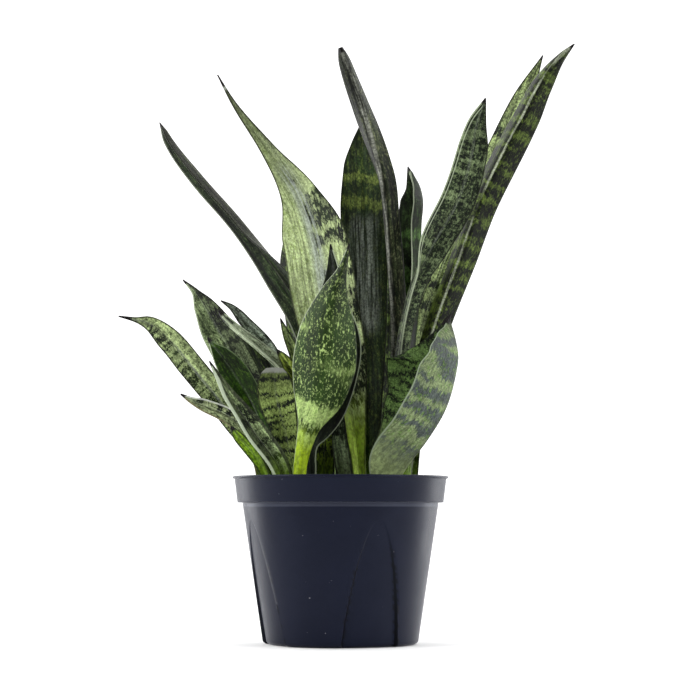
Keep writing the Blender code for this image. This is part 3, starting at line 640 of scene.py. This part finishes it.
def margins(n, look, colour):
    """A line along each margin, dark on most leaves and pale on some, the pale lines partly the leaf's own
    edge and partly painted highlight, and on some leaves a thin one inside the left margin.
    """
    width = look["line_width"]
    margin = n.times(n.between(n.edge, width * 1.3, width * 0.8), look["line_amount"])
    colour = n.mix(margin, colour, n.mix(n.right, look["left_line"], look["right_line"]))
    if look["rail"]:
        line = n.times(n.near(n.edge, look["rail"], 0.25, 0.3), n.left)
        colour = n.mix(line, colour, look["left_line"])
    return colour


def dry_point(n, look, colour):
    """The dry point of the tip, and on some leaves a light ring under it."""
    length = look["tip_length"]
    if look["neck"]:
        colour = n.mix(n.near(n.tip, length + 2.0, 1.5, 1.0), colour, look["neck"])
    reach = n.scaled(n.pattern(0.8, 0.3, 9), 2.0, n.tip)
    return n.mix(n.between(reach, length + 2.0, length), colour, look["tip"])


def leaf_material(name, look):
    """Green blade with ragged cross bands, flecks, lines along it, margin lines and a dry tip."""
    n = Blade(name, look)
    plain, mask = bands(n, look)
    colour = back(n, look, green(n, look, mask), plain)
    for layer in (midrib, texture, ends, margins, dry_point):
        colour = layer(n, look, colour)
    n.bump(n.math("ADD", n.times(n.lines, 0.7), n.times(n.fine, 0.3)), LEAF_RELIEF)
    return n.finish(colour, n.scaled(n.flecks, 0.20, look["gloss"] - 0.05), LEAF_SPECULAR)


# ---- Leaf shape ----


def side_places():
    """Places across a blade from -1 to 1, closer together at the midrib and at the margins."""
    even = np.linspace(-1.0, 1.0, RING_SIDE_POINTS)
    return 0.62 * even + 0.38 * np.sign(even) * np.sin(np.pi / 2 * np.abs(even)) ** 1.5


def blend_slopes(steps, changes, limited):
    """Slopes at the stations of a smooth curve; limited slopes never overshoot a station."""
    slopes = np.empty(len(steps) + 1)
    rates = changes / steps
    slopes[0] = rates[0]
    slopes[-1] = rates[-1]
    for k in range(1, len(steps)):
        before, after = rates[k - 1], rates[k]
        if not limited:
            slopes[k] = (before * steps[k] + after * steps[k - 1]) / (steps[k - 1] + steps[k])
        elif before * after <= 0:
            slopes[k] = 0.0
        else:
            slopes[k] = 2 * before * after / (before + after)
    return slopes


def smooth_stations(rows, places):
    """Values of every column of the stations at places from 0 at the base to 1 at the tip."""
    rows = np.array(rows, dtype=float)
    steps = np.linalg.norm(np.diff(rows[:, :3], axis=0), axis=1)
    along = np.concatenate([[0.0], np.cumsum(steps)])
    wanted = places * along[-1]
    found = np.clip(np.searchsorted(along, wanted, side="right") - 1, 0, len(steps) - 1)
    span = steps[found]
    t = (wanted - along[found]) / span
    result = np.empty((len(places), rows.shape[1]))
    for column in range(rows.shape[1]):
        values = rows[:, column]
        slopes = blend_slopes(steps, np.diff(values), limited=column > 2)
        result[:, column] = (
            (1 + 2 * t) * (1 - t) ** 2 * values[found]
            + t * (1 - t) ** 2 * span * slopes[found]
            + t * t * (3 - 2 * t) * values[found + 1]
            - t * t * (1 - t) * span * slopes[found + 1]
        )
    return result


def blade_section(sizes, fold, crease, across):
    """Outline of one cross-section as (sideways, towards the inner face) pairs, inner face first.

    sizes are the width across the flattened blade and its thickness at the midrib and the margin.
    crease 1 folds the blade sharply at its midrib, and crease 0 bends it evenly like a gutter.
    """
    width, middle, edge = sizes
    fine = np.linspace(-1.0, 1.0, FOLD_SAMPLES)
    slope = fold * ((1 - crease) * fine + crease * np.tanh(fine / CREASE_WIDTH))
    step = width / 2 * (fine[1] - fine[0])
    sideways = np.concatenate([[0.0], np.cumsum(np.cos((slope[1:] + slope[:-1]) / 2) * step)])
    inward = np.concatenate([[0.0], np.cumsum(np.sin((slope[1:] + slope[:-1]) / 2) * step)])
    sideways -= sideways[FOLD_SAMPLES // 2]
    inward -= inward[FOLD_SAMPLES // 2]
    angle = np.interp(across, fine, slope)
    centre = np.stack([np.interp(across, fine, sideways), np.interp(across, fine, inward)], 1)
    half = (edge + (middle - edge) * (1 - np.abs(across) ** EDGE_THINNING)) / 2
    half *= np.sqrt(np.clip(1 - ((np.abs(across) - 1) * width / edge + 1).clip(0) ** 2, 0.02, 1))
    normal = np.stack([-np.sin(angle), np.cos(angle)], 1) * half[:, None]
    return np.concatenate([centre + normal, (centre - normal)[::-1]])


def planted_rows(rows):
    """The stations with one more below the soil's surface, straight down the leaf's own line."""
    first = np.array(rows[0], dtype=float)
    second = np.array(rows[1], dtype=float)
    rise = second[2] - first[2]
    lowest = first.copy()
    lowest[:2] -= (second[:2] - first[:2]) * PLANTING_DEPTH / MM / rise
    lowest[2] -= PLANTING_DEPTH / MM
    return [tuple(lowest)] + list(rows)


def middle_thickness(height, width):
    """Thickness at the midrib, swelling towards the soil and never much next to the width."""
    swell = min(1.0, max(0.0, 1.0 - height / BASE_SWELL_HEIGHT))
    middle = LEAF_THICKNESS + (LEAF_BASE_THICKNESS - LEAF_THICKNESS) * swell
    return min(middle, max(LEAF_EDGE_THICKNESS, width * LEAF_THICKEST_SHARE))


def spine_tangents(rows, places):
    """Unit directions of the leaf's spine at the given places."""
    ahead = smooth_stations(rows, np.minimum(places + TANGENT_STEP, 1.0))[:, :3]
    behind = smooth_stations(rows, np.maximum(places - TANGENT_STEP, 0.0))[:, :3]
    along = ahead - behind
    return along / np.linalg.norm(along, axis=1)[:, None]


def edge_ripple(width, run, wave):
    """Waviness at a distance along a leaf, calmer where it is narrow; both are in mm."""
    calm = min(1.0, width / RIPPLE_FULL_WIDTH_MM)
    long = calm * math.sin(run / RIPPLE_LONG_MM + wave)
    short = 0.6 * calm * math.sin(run / RIPPLE_SHORT_MM + 2.1 * wave)
    return long + short


def blade_axes(tangent, turn):
    """Directions across a blade and out of its inner face."""
    forward = np.array([0.0, -1.0, 0.0])
    forward -= tangent * forward.dot(tangent)
    forward /= np.linalg.norm(forward)
    side = np.cross(tangent, forward)
    lateral = side * math.cos(turn) - forward * math.sin(turn)
    facing = forward * math.cos(turn) + side * math.sin(turn)
    return lateral, facing


def leaf_rings(rows, places, look):
    """Rings of points round a leaf, and what its material needs at each point."""
    stations = planted_rows(rows)
    values = smooth_stations(stations, places)
    spine = values[:, :3] * MM + np.array([0.0, 0.0, SOIL_TOP])
    tangents = spine_tangents(stations, places)
    across = side_places()
    both = np.concatenate([across, across[::-1]])
    inner = np.concatenate([np.ones(len(across)), -np.ones(len(across))])
    length = np.concatenate([[0.0], np.cumsum(np.linalg.norm(np.diff(spine, axis=0), axis=1))]) / MM
    rings, blades, marks = [], [], []
    for centre, tangent, row, run in zip(spine, tangents, values, length):
        ripple = edge_ripple(row[3], run, look["seed"])
        width = row[3] * MM * (1.0 + RIPPLE_WIDTH_SHARE * ripple)
        fold = math.radians(row[5] + RIPPLE_FOLD_DEG * ripple)
        lateral, facing = blade_axes(tangent, math.radians(row[4]))
        middle = middle_thickness(row[2] * MM, width)
        outline = blade_section((width, middle, LEAF_EDGE_THICKNESS), fold, look["crease"], across)
        rings.append(centre + outline[:, :1] * lateral + outline[:, 1:] * facing)
        half = width / 2 / MM
        above = np.full(len(both), run - PLANTING_DEPTH / MM)
        blades.append(np.stack([both * half, above, (1 - np.abs(both)) * half], 1))
        marks.append(np.stack([both, np.full(len(both), length[-1] - run), inner], 1))
    return rings, blades, marks


def bridge(ring_count, ring_size):
    """Quads between successive rings of points."""
    faces = []
    for ring in range(ring_count - 1):
        first, second = ring * ring_size, (ring + 1) * ring_size
        for k in range(ring_size):
            following = (k + 1) % ring_size
            faces.append((first + k, first + following, second + following, second + k))
    return faces


def closed_tube(rings):
    """Faces of a tube through rings of points, with one face over each end."""
    size = len(rings[0])
    last = (len(rings) - 1) * size
    return bridge(len(rings), size) + [tuple(range(size)), tuple(range(last, last + size))]


def mesh_object(name, points, faces, sharp_deg=50.0):
    """A smooth-shaded mesh object with its faces turned outwards."""
    mesh = bpy.data.meshes.new(name)
    mesh.from_pydata([tuple(p) for p in points], [], faces)
    shell = bmesh.new()
    shell.from_mesh(mesh)
    bmesh.ops.recalc_face_normals(shell, faces=shell.faces)
    shell.to_mesh(mesh)
    shell.free()
    mesh.shade_smooth()
    mesh.set_sharp_from_angle(angle=math.radians(sharp_deg))
    item = bpy.data.objects.new(name, mesh)
    bpy.context.scene.collection.objects.link(item)
    return item


def set_attribute(item, name, rows):
    """Store a vector for each point of a mesh."""
    layer = item.data.attributes.new(name, "FLOAT_VECTOR", "POINT")
    layer.data.foreach_set("vector", np.asarray(rows, dtype=np.float32).ravel())


def make_leaf(node, rows, changes):
    """One finished leaf that stands for a CAD leaf."""
    look = {**LOOK, **changes}
    spine = np.array(planted_rows(rows), dtype=float)[:, :3] * MM
    reach = np.linalg.norm(np.diff(spine, axis=0), axis=1).sum()
    count = max(24, round(reach / RING_SPACING))
    even = np.linspace(0.0, 1.0, count)
    places = 1.0 - (1.0 - even) ** 1.15
    rings, blades, marks = leaf_rings(rows, places, look)
    leaf = mesh_object(f"{node}_fine", np.concatenate(rings), closed_tube(rings))
    set_attribute(leaf, "blade", np.concatenate(blades))
    set_attribute(leaf, "place", np.concatenate(marks))
    leaf.data.materials.append(leaf_material(node, look))
    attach(leaf, ROOT)
    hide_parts(node)


# ---- Pot ----


def band_radius(height):
    """Outer radius of the rim band under the lip."""
    share = (POT_HEIGHT - LIP_HEIGHT - height) / (BAND_HEIGHT - LIP_HEIGHT)
    return RIM_RADIUS - LIP_OVERHANG - BAND_TAPER * share


def neck_radius():
    """Outer radius just under the band."""
    return band_radius(POT_HEIGHT - BAND_HEIGHT) - SHOULDER_STEP


def body_radius(height):
    """Outer radius of the tapered body, away from the recesses."""
    top = POT_HEIGHT - BAND_HEIGHT - NECK_HEIGHT
    return neck_radius() - (top - height) * math.tan(math.radians(BODY_TAPER_DEG))


def panel_share(height):
    """0 at the top of a recess and above it, 1 at the foot."""
    return max(0.0, 1.0 - height / PANEL_TOP)


def column_steps(height):
    """Angles of the columns round one recess, and how far each is pressed in, from 0 to 1."""
    pitch = 360.0 / PANEL_COUNT
    half = PANEL_HALF_ANGLE_DEG * panel_share(height) ** PANEL_CURVE + 0.4 * PANEL_EDGE_DEG
    edge = half + PANEL_EDGE_DEG
    ramp = np.linspace(0.0, 1.0, EDGE_COLUMNS)
    press = ramp * ramp * (3 - 2 * ramp)
    flat = np.linspace(edge, pitch / 2, SIDE_COLUMNS)[1:]
    floor = np.linspace(-half, half, FLOOR_COLUMNS)[1:-1]
    zeros = np.zeros(len(flat))
    angles = [-flat[::-1], -edge + PANEL_EDGE_DEG * ramp, floor, half + PANEL_EDGE_DEG * ramp, flat[:-1]]
    depths = [zeros, press, np.ones(len(floor)), press[::-1], zeros[:-1]]
    return np.concatenate(angles), np.concatenate(depths)


def pot_ring(height, radius, inset=0.0):
    """One ring of the pot, inset from the outer surface."""
    steps, depths = column_steps(height)
    turns = PANEL_AZIMUTH_DEG + 360.0 / PANEL_COUNT * np.arange(PANEL_COUNT)
    angles = np.radians((turns[:, None] + steps[None, :]).ravel())
    radii = radius - inset - np.tile(depths, PANEL_COUNT) * PANEL_DEPTH * panel_share(height) ** 0.7
    return np.stack([radii * np.sin(angles), -radii * np.cos(angles), np.full(len(angles), height)], 1)


def rounded(corners, radius):
    """A profile of (radius, height) corners with every inner corner rounded by a small arc."""
    corners = [np.array(c, dtype=float) for c in corners]
    profile = [corners[0]]
    for before, corner, after in zip(corners, corners[1:], corners[2:]):
        back, ahead = before - corner, after - corner
        reach = min(radius, 0.45 * np.linalg.norm(back), 0.45 * np.linalg.norm(ahead))
        start = corner + back / np.linalg.norm(back) * reach
        end = corner + ahead / np.linalg.norm(ahead) * reach
        for t in (0.0, 0.33, 0.67, 1.0):
            profile.append((1 - t) ** 2 * start + 2 * t * (1 - t) * corner + t * t * end)
    return profile + [corners[-1]]


def rim_profile():
    """The pot's profile from inside the neck, over the lip, down to the neck's outside."""
    lip = POT_HEIGHT - LIP_HEIGHT
    band = POT_HEIGHT - BAND_HEIGHT
    neck = band - NECK_HEIGHT
    shelf = band + WALL
    corners = [
        (neck_radius() - WALL, neck),
        (neck_radius() - WALL, shelf),
        (band_radius(band) - WALL, shelf),
        (band_radius(POT_HEIGHT) - WALL, POT_HEIGHT),
        (RIM_RADIUS, POT_HEIGHT),
        (RIM_RADIUS, lip),
        (band_radius(lip), lip),
        (band_radius(band), band),
        (neck_radius(), band),
        (neck_radius(), neck),
    ]
    return rounded(corners, CORNER_RADIUS)


def body_heights():
    """Heights of the body's rings from the neck to the foot, closer together at the recess tops."""
    neck = POT_HEIGHT - BAND_HEIGHT - NECK_HEIGHT
    above = np.linspace(neck, PANEL_TOP + 0.0005, 6)[1:]
    beside = PANEL_TOP * (1 - np.linspace(0.0, 1.0, BODY_RINGS) ** 1.6)
    heights = np.concatenate([above, beside])
    return heights[heights > FOOT_FILLET]


def make_pot():
    """The moulded pot: rounded lip, band, shoulder, recesses and a foot with drain holes."""
    foot = body_radius(FOOT_FILLET)
    heights = body_heights()
    rings = [pot_ring(FLOOR_THICKNESS, body_radius(FLOOR_THICKNESS), WALL)]
    rings += [pot_ring(z, body_radius(z), WALL) for z in reversed(heights)]
    rings += [pot_ring(z, r) for r, z in rim_profile()]
    rings += [pot_ring(z, body_radius(z)) for z in heights]
    for angle in np.radians(np.linspace(0.0, 90.0, FOOT_RINGS)):
        height = FOOT_FILLET * (1 - math.sin(angle))
        rings.append(pot_ring(height, foot, FOOT_FILLET * (1 - math.cos(angle))))
    pot = mesh_object("pot_moulded", np.concatenate(rings), closed_tube(rings), 40.0)
    drill_holes(pot)
    mark_painted_shade_and_highlight(pot)
    pot.data.materials.append(pot_material())
    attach(pot, ROOT)
    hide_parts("pot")


def mark_painted_shade_and_highlight(pot):
    """Store where the recess walls are, for painted shade, one wall of each recess less than the other, and
    where the ring under the band is, for a painted highlight.
    """
    neck = POT_HEIGHT - BAND_HEIGHT - 0.5 * NECK_HEIGHT
    pitch = 360.0 / PANEL_COUNT
    marks = []
    for vert in pot.data.vertices:
        x, y, z = vert.co
        steps, _ = column_steps(z)
        half = -steps[SIDE_COLUMNS - 1]
        turn = (math.degrees(math.atan2(x, -y)) - PANEL_AZIMUTH_DEG + pitch / 2) % pitch
        offset = abs(turn - pitch / 2)
        # Painted shade: full low in the recess, fading towards its top, and lighter on one wall.
        strength = min(1.0, 2.4 * panel_share(z)) * (0.7 if turn < pitch / 2 else 1.0)
        on_wall = abs(offset - half + 0.5 * PANEL_EDGE_DEG) < 0.5 * PANEL_EDGE_DEG
        # Painted highlight on the ring under the band.
        on_ring = abs(z - neck) < 0.5 * NECK_HEIGHT and math.hypot(x, y) > neck_radius() - WALL / 2
        marks.append((strength if on_wall else 0.0, 1.0 if on_ring else 0.0, 0.0))
    set_attribute(pot, "recess", marks)


def drill_holes(pot):
    """Cut the drain holes through the floor and apply the cuts."""
    rods = bmesh.new()
    for index in range(DRAIN_HOLES):
        angle = 2 * math.pi * (index + 0.5) / DRAIN_HOLES
        sizes = {"radius1": DRAIN_RADIUS, "radius2": DRAIN_RADIUS, "depth": 6 * FLOOR_THICKNESS}
        made = bmesh.ops.create_cone(rods, cap_ends=True, segments=40, **sizes)
        x, y = DRAIN_CIRCLE_RADIUS * math.sin(angle), -DRAIN_CIRCLE_RADIUS * math.cos(angle)
        bmesh.ops.translate(rods, verts=made["verts"], vec=Vector((x, y, FLOOR_THICKNESS / 2)))
    mesh = bpy.data.meshes.new("drain_rods")
    rods.to_mesh(mesh)
    rods.free()
    cutter = bpy.data.objects.new("drain_rods", mesh)
    bpy.context.scene.collection.objects.link(cutter)
    cut = pot.modifiers.new("drain_holes", "BOOLEAN")
    cut.object = cutter
    cut.solver = "EXACT"
    bpy.context.view_layer.objects.active = pot
    bpy.ops.object.modifier_apply(modifier=cut.name)
    bpy.data.objects.remove(cutter)


def pot_material():
    """Dark satin moulded plastic with a fine skin, faint flow marks, a few pale scuffs, painted shade on
    the recess walls and a painted highlight on the ring under the band.
    """
    n = Nodes(bpy.data.materials.new("pot_plastic"))
    here = n.position()
    skin = n.noise(here, 3.0, 0.6, 2200.0)
    flow = n.noise(here, 2.0, 0.5, 35.0)
    scuff = n.between(n.noise(here, 4.0, 0.7, 260.0), 0.72, 0.745)
    colour = n.mix(n.between(flow, 0.3, 0.7), (0.0036, 0.0046, 0.0125), (0.0046, 0.0058, 0.0150))
    colour = n.mix(n.times(scuff, 0.8), colour, (0.42, 0.42, 0.45))
    painted_wall_shade, ring, _ = n.attribute("recess")
    # Painted shade: the recess walls are painted nearly black.
    colour = n.mix(n.between(painted_wall_shade, 0.1, 0.9), colour, (0.001, 0.001, 0.002))
    # Painted highlight: the ring under the band is painted lighter.
    colour = n.mix(n.between(ring, 0.2, 0.8), colour, (0.032, 0.035, 0.052))
    roughness = n.scaled(n.between(flow, 0.3, 0.7), 0.07, 0.32)
    n.shader.inputs["Specular Tint"].default_value = (0.72, 0.80, 1.0, 1.0)
    n.shader.inputs["Sheen Weight"].default_value = 0.12
    n.shader.inputs["Sheen Roughness"].default_value = 0.25
    n.shader.inputs["Sheen Tint"].default_value = (0.80, 0.84, 1.0, 1.0)
    n.bump(skin, 0.00006)
    return n.finish(colour, roughness, 0.15)


# ---- Potting mix ----


def soil_waves(rng):
    """Height, frequencies and phases of the waves that make the bed lumpy."""
    waves = []
    for k in range(LUMPS):
        frequencies = (rng.uniform(60, 520), rng.uniform(60, 520))
        phases = (rng.uniform(0, 6.3), rng.uniform(0, 6.3))
        waves.append((LUMP_HEIGHT / (1 + k * 0.4), *frequencies, *phases))
    return waves


def soil_height(x, y, waves):
    """Height of the lumpy surface over a point."""
    return sum(a * math.sin(x * fx + p) * math.sin(y * fy + q) for a, fx, fy, p, q in waves)


def make_soil():
    """Potting mix: a lumpy bed with crumbs, bark chips and grit lying in it."""
    waves = soil_waves(random.Random(7))
    outer = body_radius(SOIL_TOP) - WALL - SOIL_WALL_GAP
    turns = [2 * math.pi * k / SOIL_COLUMNS for k in range(SOIL_COLUMNS)]
    points = []
    for ring in range(SOIL_RINGS + 1):
        share = ring / SOIL_RINGS
        for angle in turns:
            x, y = outer * share * math.sin(angle), outer * share * math.cos(angle)
            rise = soil_height(x, y, waves) * (1.0 - share ** 8)
            points.append((x, y, SOIL_TOP + SOIL_CROWN * (1 - share * share) + rise - SOIL_SINK))
    for angle in turns:
        x, y = outer * 0.95 * math.sin(angle), outer * 0.95 * math.cos(angle)
        points.append((x, y, SOIL_TOP - SOIL_DEPTH))
    faces = bridge(SOIL_RINGS + 2, SOIL_COLUMNS)
    faces.append(tuple(range(len(points) - SOIL_COLUMNS, len(points))))
    bed = mesh_object("potting_mix", points, faces, 180.0)
    add_crumbs(bed, outer, waves)
    bed.data.materials.append(soil_material())
    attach(bed, ROOT)
    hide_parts("potting_soil")


def add_crumbs(bed, outer, waves):
    """Scatter crumbs, chips and grit over the bed and join them to its mesh."""
    rng = random.Random(11)
    shell = bmesh.new()
    shell.from_mesh(bed.data)
    kind = shell.verts.layers.float_vector.new("crumb")
    for _ in range(CRUMBS):
        reach = outer * math.sqrt(rng.uniform(0.0, 0.94))
        angle = rng.uniform(0.0, 2 * math.pi)
        x, y = reach * math.sin(angle), reach * math.cos(angle)
        z = SOIL_TOP + SOIL_CROWN * (1 - (reach / outer) ** 2) + soil_height(x, y, waves) - SOIL_SINK
        sort = BARK if rng.random() < 0.16 else (GRIT if rng.random() < 0.10 else PEAT)
        size = rng.uniform(0.0006, 0.0016) if sort != BARK else rng.uniform(0.0016, 0.0034)
        wide, deep = rng.uniform(0.7, 1.6), rng.uniform(0.6, 1.0)
        high = rng.uniform(0.35, 0.6) if sort == BARK else rng.uniform(0.6, 0.9)
        stretch = Vector((wide, deep, high))
        spin = Euler((rng.uniform(-0.5, 0.5), rng.uniform(-0.5, 0.5), rng.uniform(0.0, 6.3))).to_matrix()
        shade = rng.random()
        made = bmesh.ops.create_icosphere(shell, subdivisions=1, radius=size)
        for vert in made["verts"]:
            knob = vert.co * rng.uniform(0.75, 1.2)
            knob = Vector((knob.x * stretch.x, knob.y * stretch.y, knob.z * stretch.z))
            vert.co = spin @ knob + Vector((x, y, z + size * 0.25))
            vert[kind] = Vector((sort, shade, 1.0))
    shell.to_mesh(bed.data)
    shell.free()


def soil_material():
    """Dark damp peat with brown bark and a few pale grits."""
    n = Nodes(bpy.data.materials.new("potting_mix"))
    here = n.position()
    sort, shade, _ = n.attribute("crumb")
    grain = n.noise(here, 4.0, 0.65, 900.0)
    patch = n.noise(here, 2.0, 0.5, 120.0)
    peat = n.mix(n.between(grain, 0.35, 0.65), (0.010, 0.007, 0.005), (0.040, 0.026, 0.017))
    peat = n.mix(n.between(patch, 0.4, 0.7), peat, (0.026, 0.017, 0.011))
    bark = n.mix(n.between(grain, 0.3, 0.7), (0.055, 0.028, 0.014), (0.130, 0.070, 0.035))
    colour = n.mix(n.between(sort, 0.6, 0.9), peat, n.mix(shade, bark, peat))
    grit = n.times(n.between(sort, 0.3, 0.45), n.between(sort, 0.7, 0.55))
    colour = n.mix(grit, colour, n.mix(shade, (0.30, 0.27, 0.22), (0.62, 0.60, 0.55)))
    n.bump(grain, 0.0006)
    return n.finish(colour, n.scaled(grain, 0.15, 0.80), 0.3)


# ---- Studio ----


def area_light(name, place, target, size, power):
    """A soft white rectangular light aimed at a point."""
    data = bpy.data.lights.new(name, "AREA")
    data.shape = "RECTANGLE"
    data.size, data.size_y = size
    data.energy = power
    light = bpy.data.objects.new(name, data)
    light.location = place
    light.rotation_euler = (Vector(target) - Vector(place)).to_track_quat("-Z", "Y").to_euler()
    bpy.context.scene.collection.objects.link(light)


def make_world():
    """White surroundings, lit from behind the plant and dim in front of it."""
    world = bpy.data.worlds.new("studio")
    bpy.context.scene.world = world
    n = Nodes(world, "Background")
    depth = n.parts(n.add("TexCoord", {}).outputs["Generated"])["Y"]
    light = n.between(depth, -0.55, 0.45, **{"To Min": WORLD_FRONT, "To Max": WORLD_BACK})
    seen = n.add("LightPath", {}).outputs["Is Camera Ray"]
    n.put(n.shader.inputs["Color"], (1.0, 1.0, 1.0))
    n.put(n.shader.inputs["Strength"], n.math("MAXIMUM", seen, light))


def make_floor():
    """A plain pale floor under the pot that fades into the white surroundings."""
    turns = np.linspace(0, 2 * math.pi, FLOOR_SIDES, endpoint=False)
    points = [(r * math.sin(a), r * math.cos(a), 0.0) for r in (0.02, FLOOR_REACH) for a in turns]
    floor = mesh_object("floor", points, bridge(2, FLOOR_SIDES) + [tuple(range(FLOOR_SIDES))])
    floor.location.z = -FLOOR_DROP
    n = Nodes(bpy.data.materials.new("floor"))
    here = n.position()
    grain = n.noise(here, 3.0, 0.5, 30.0)
    reach = n.add("VectorMath", {0: here}, operation="LENGTH").outputs["Value"]
    n.put(n.shader.inputs["Alpha"], n.between(reach, FLOOR_REACH, FLOOR_REACH * 0.35))
    colour = n.mix(grain, (0.87, 0.87, 0.87), (0.90, 0.90, 0.90))
    floor.data.materials.append(n.finish(colour, 0.9, 0.2))


def make_camera():
    """The camera, low in front and tilted up a little."""
    data = bpy.data.cameras.new("camera")
    data.sensor_width = 36.0
    data.lens = CAMERA_LENS
    camera = bpy.data.objects.new("camera", data)
    camera.location = CAMERA_PLACE
    camera.rotation_euler = (math.radians(90.0 + CAMERA_TILT_DEG), 0.0, 0.0)
    bpy.context.scene.collection.objects.link(camera)
    bpy.context.scene.camera = camera


def make_studio():
    """Camera, floor, surroundings and lights: bright from both sides and behind, softer in front."""
    make_camera()
    make_floor()
    make_world()
    middle = (0.0, 0.0, 0.2)
    area_light("left_rim", (-1.0, 0.7, 0.35), middle, (0.5, 1.2), 9.0)
    area_light("right_rim", (1.0, 0.7, 0.35), middle, (0.5, 1.2), 8.0)
    area_light("top", (0.1, 0.2, 1.5), middle, (1.0, 1.0), 6.0)
    area_light("left_side", (-1.25, -0.65, 0.60), middle, (0.6, 0.8), 17.0)
    area_light("right_side", (1.25, -0.75, 0.50), middle, (0.6, 0.8), 15.0)
    bpy.context.scene.view_settings.view_transform = "Standard"


make_pot()
make_soil()
for leaf_node, leaf_rows in LEAVES_MM.items():
    make_leaf(leaf_node, leaf_rows, LOOKS[leaf_node])
make_studio()
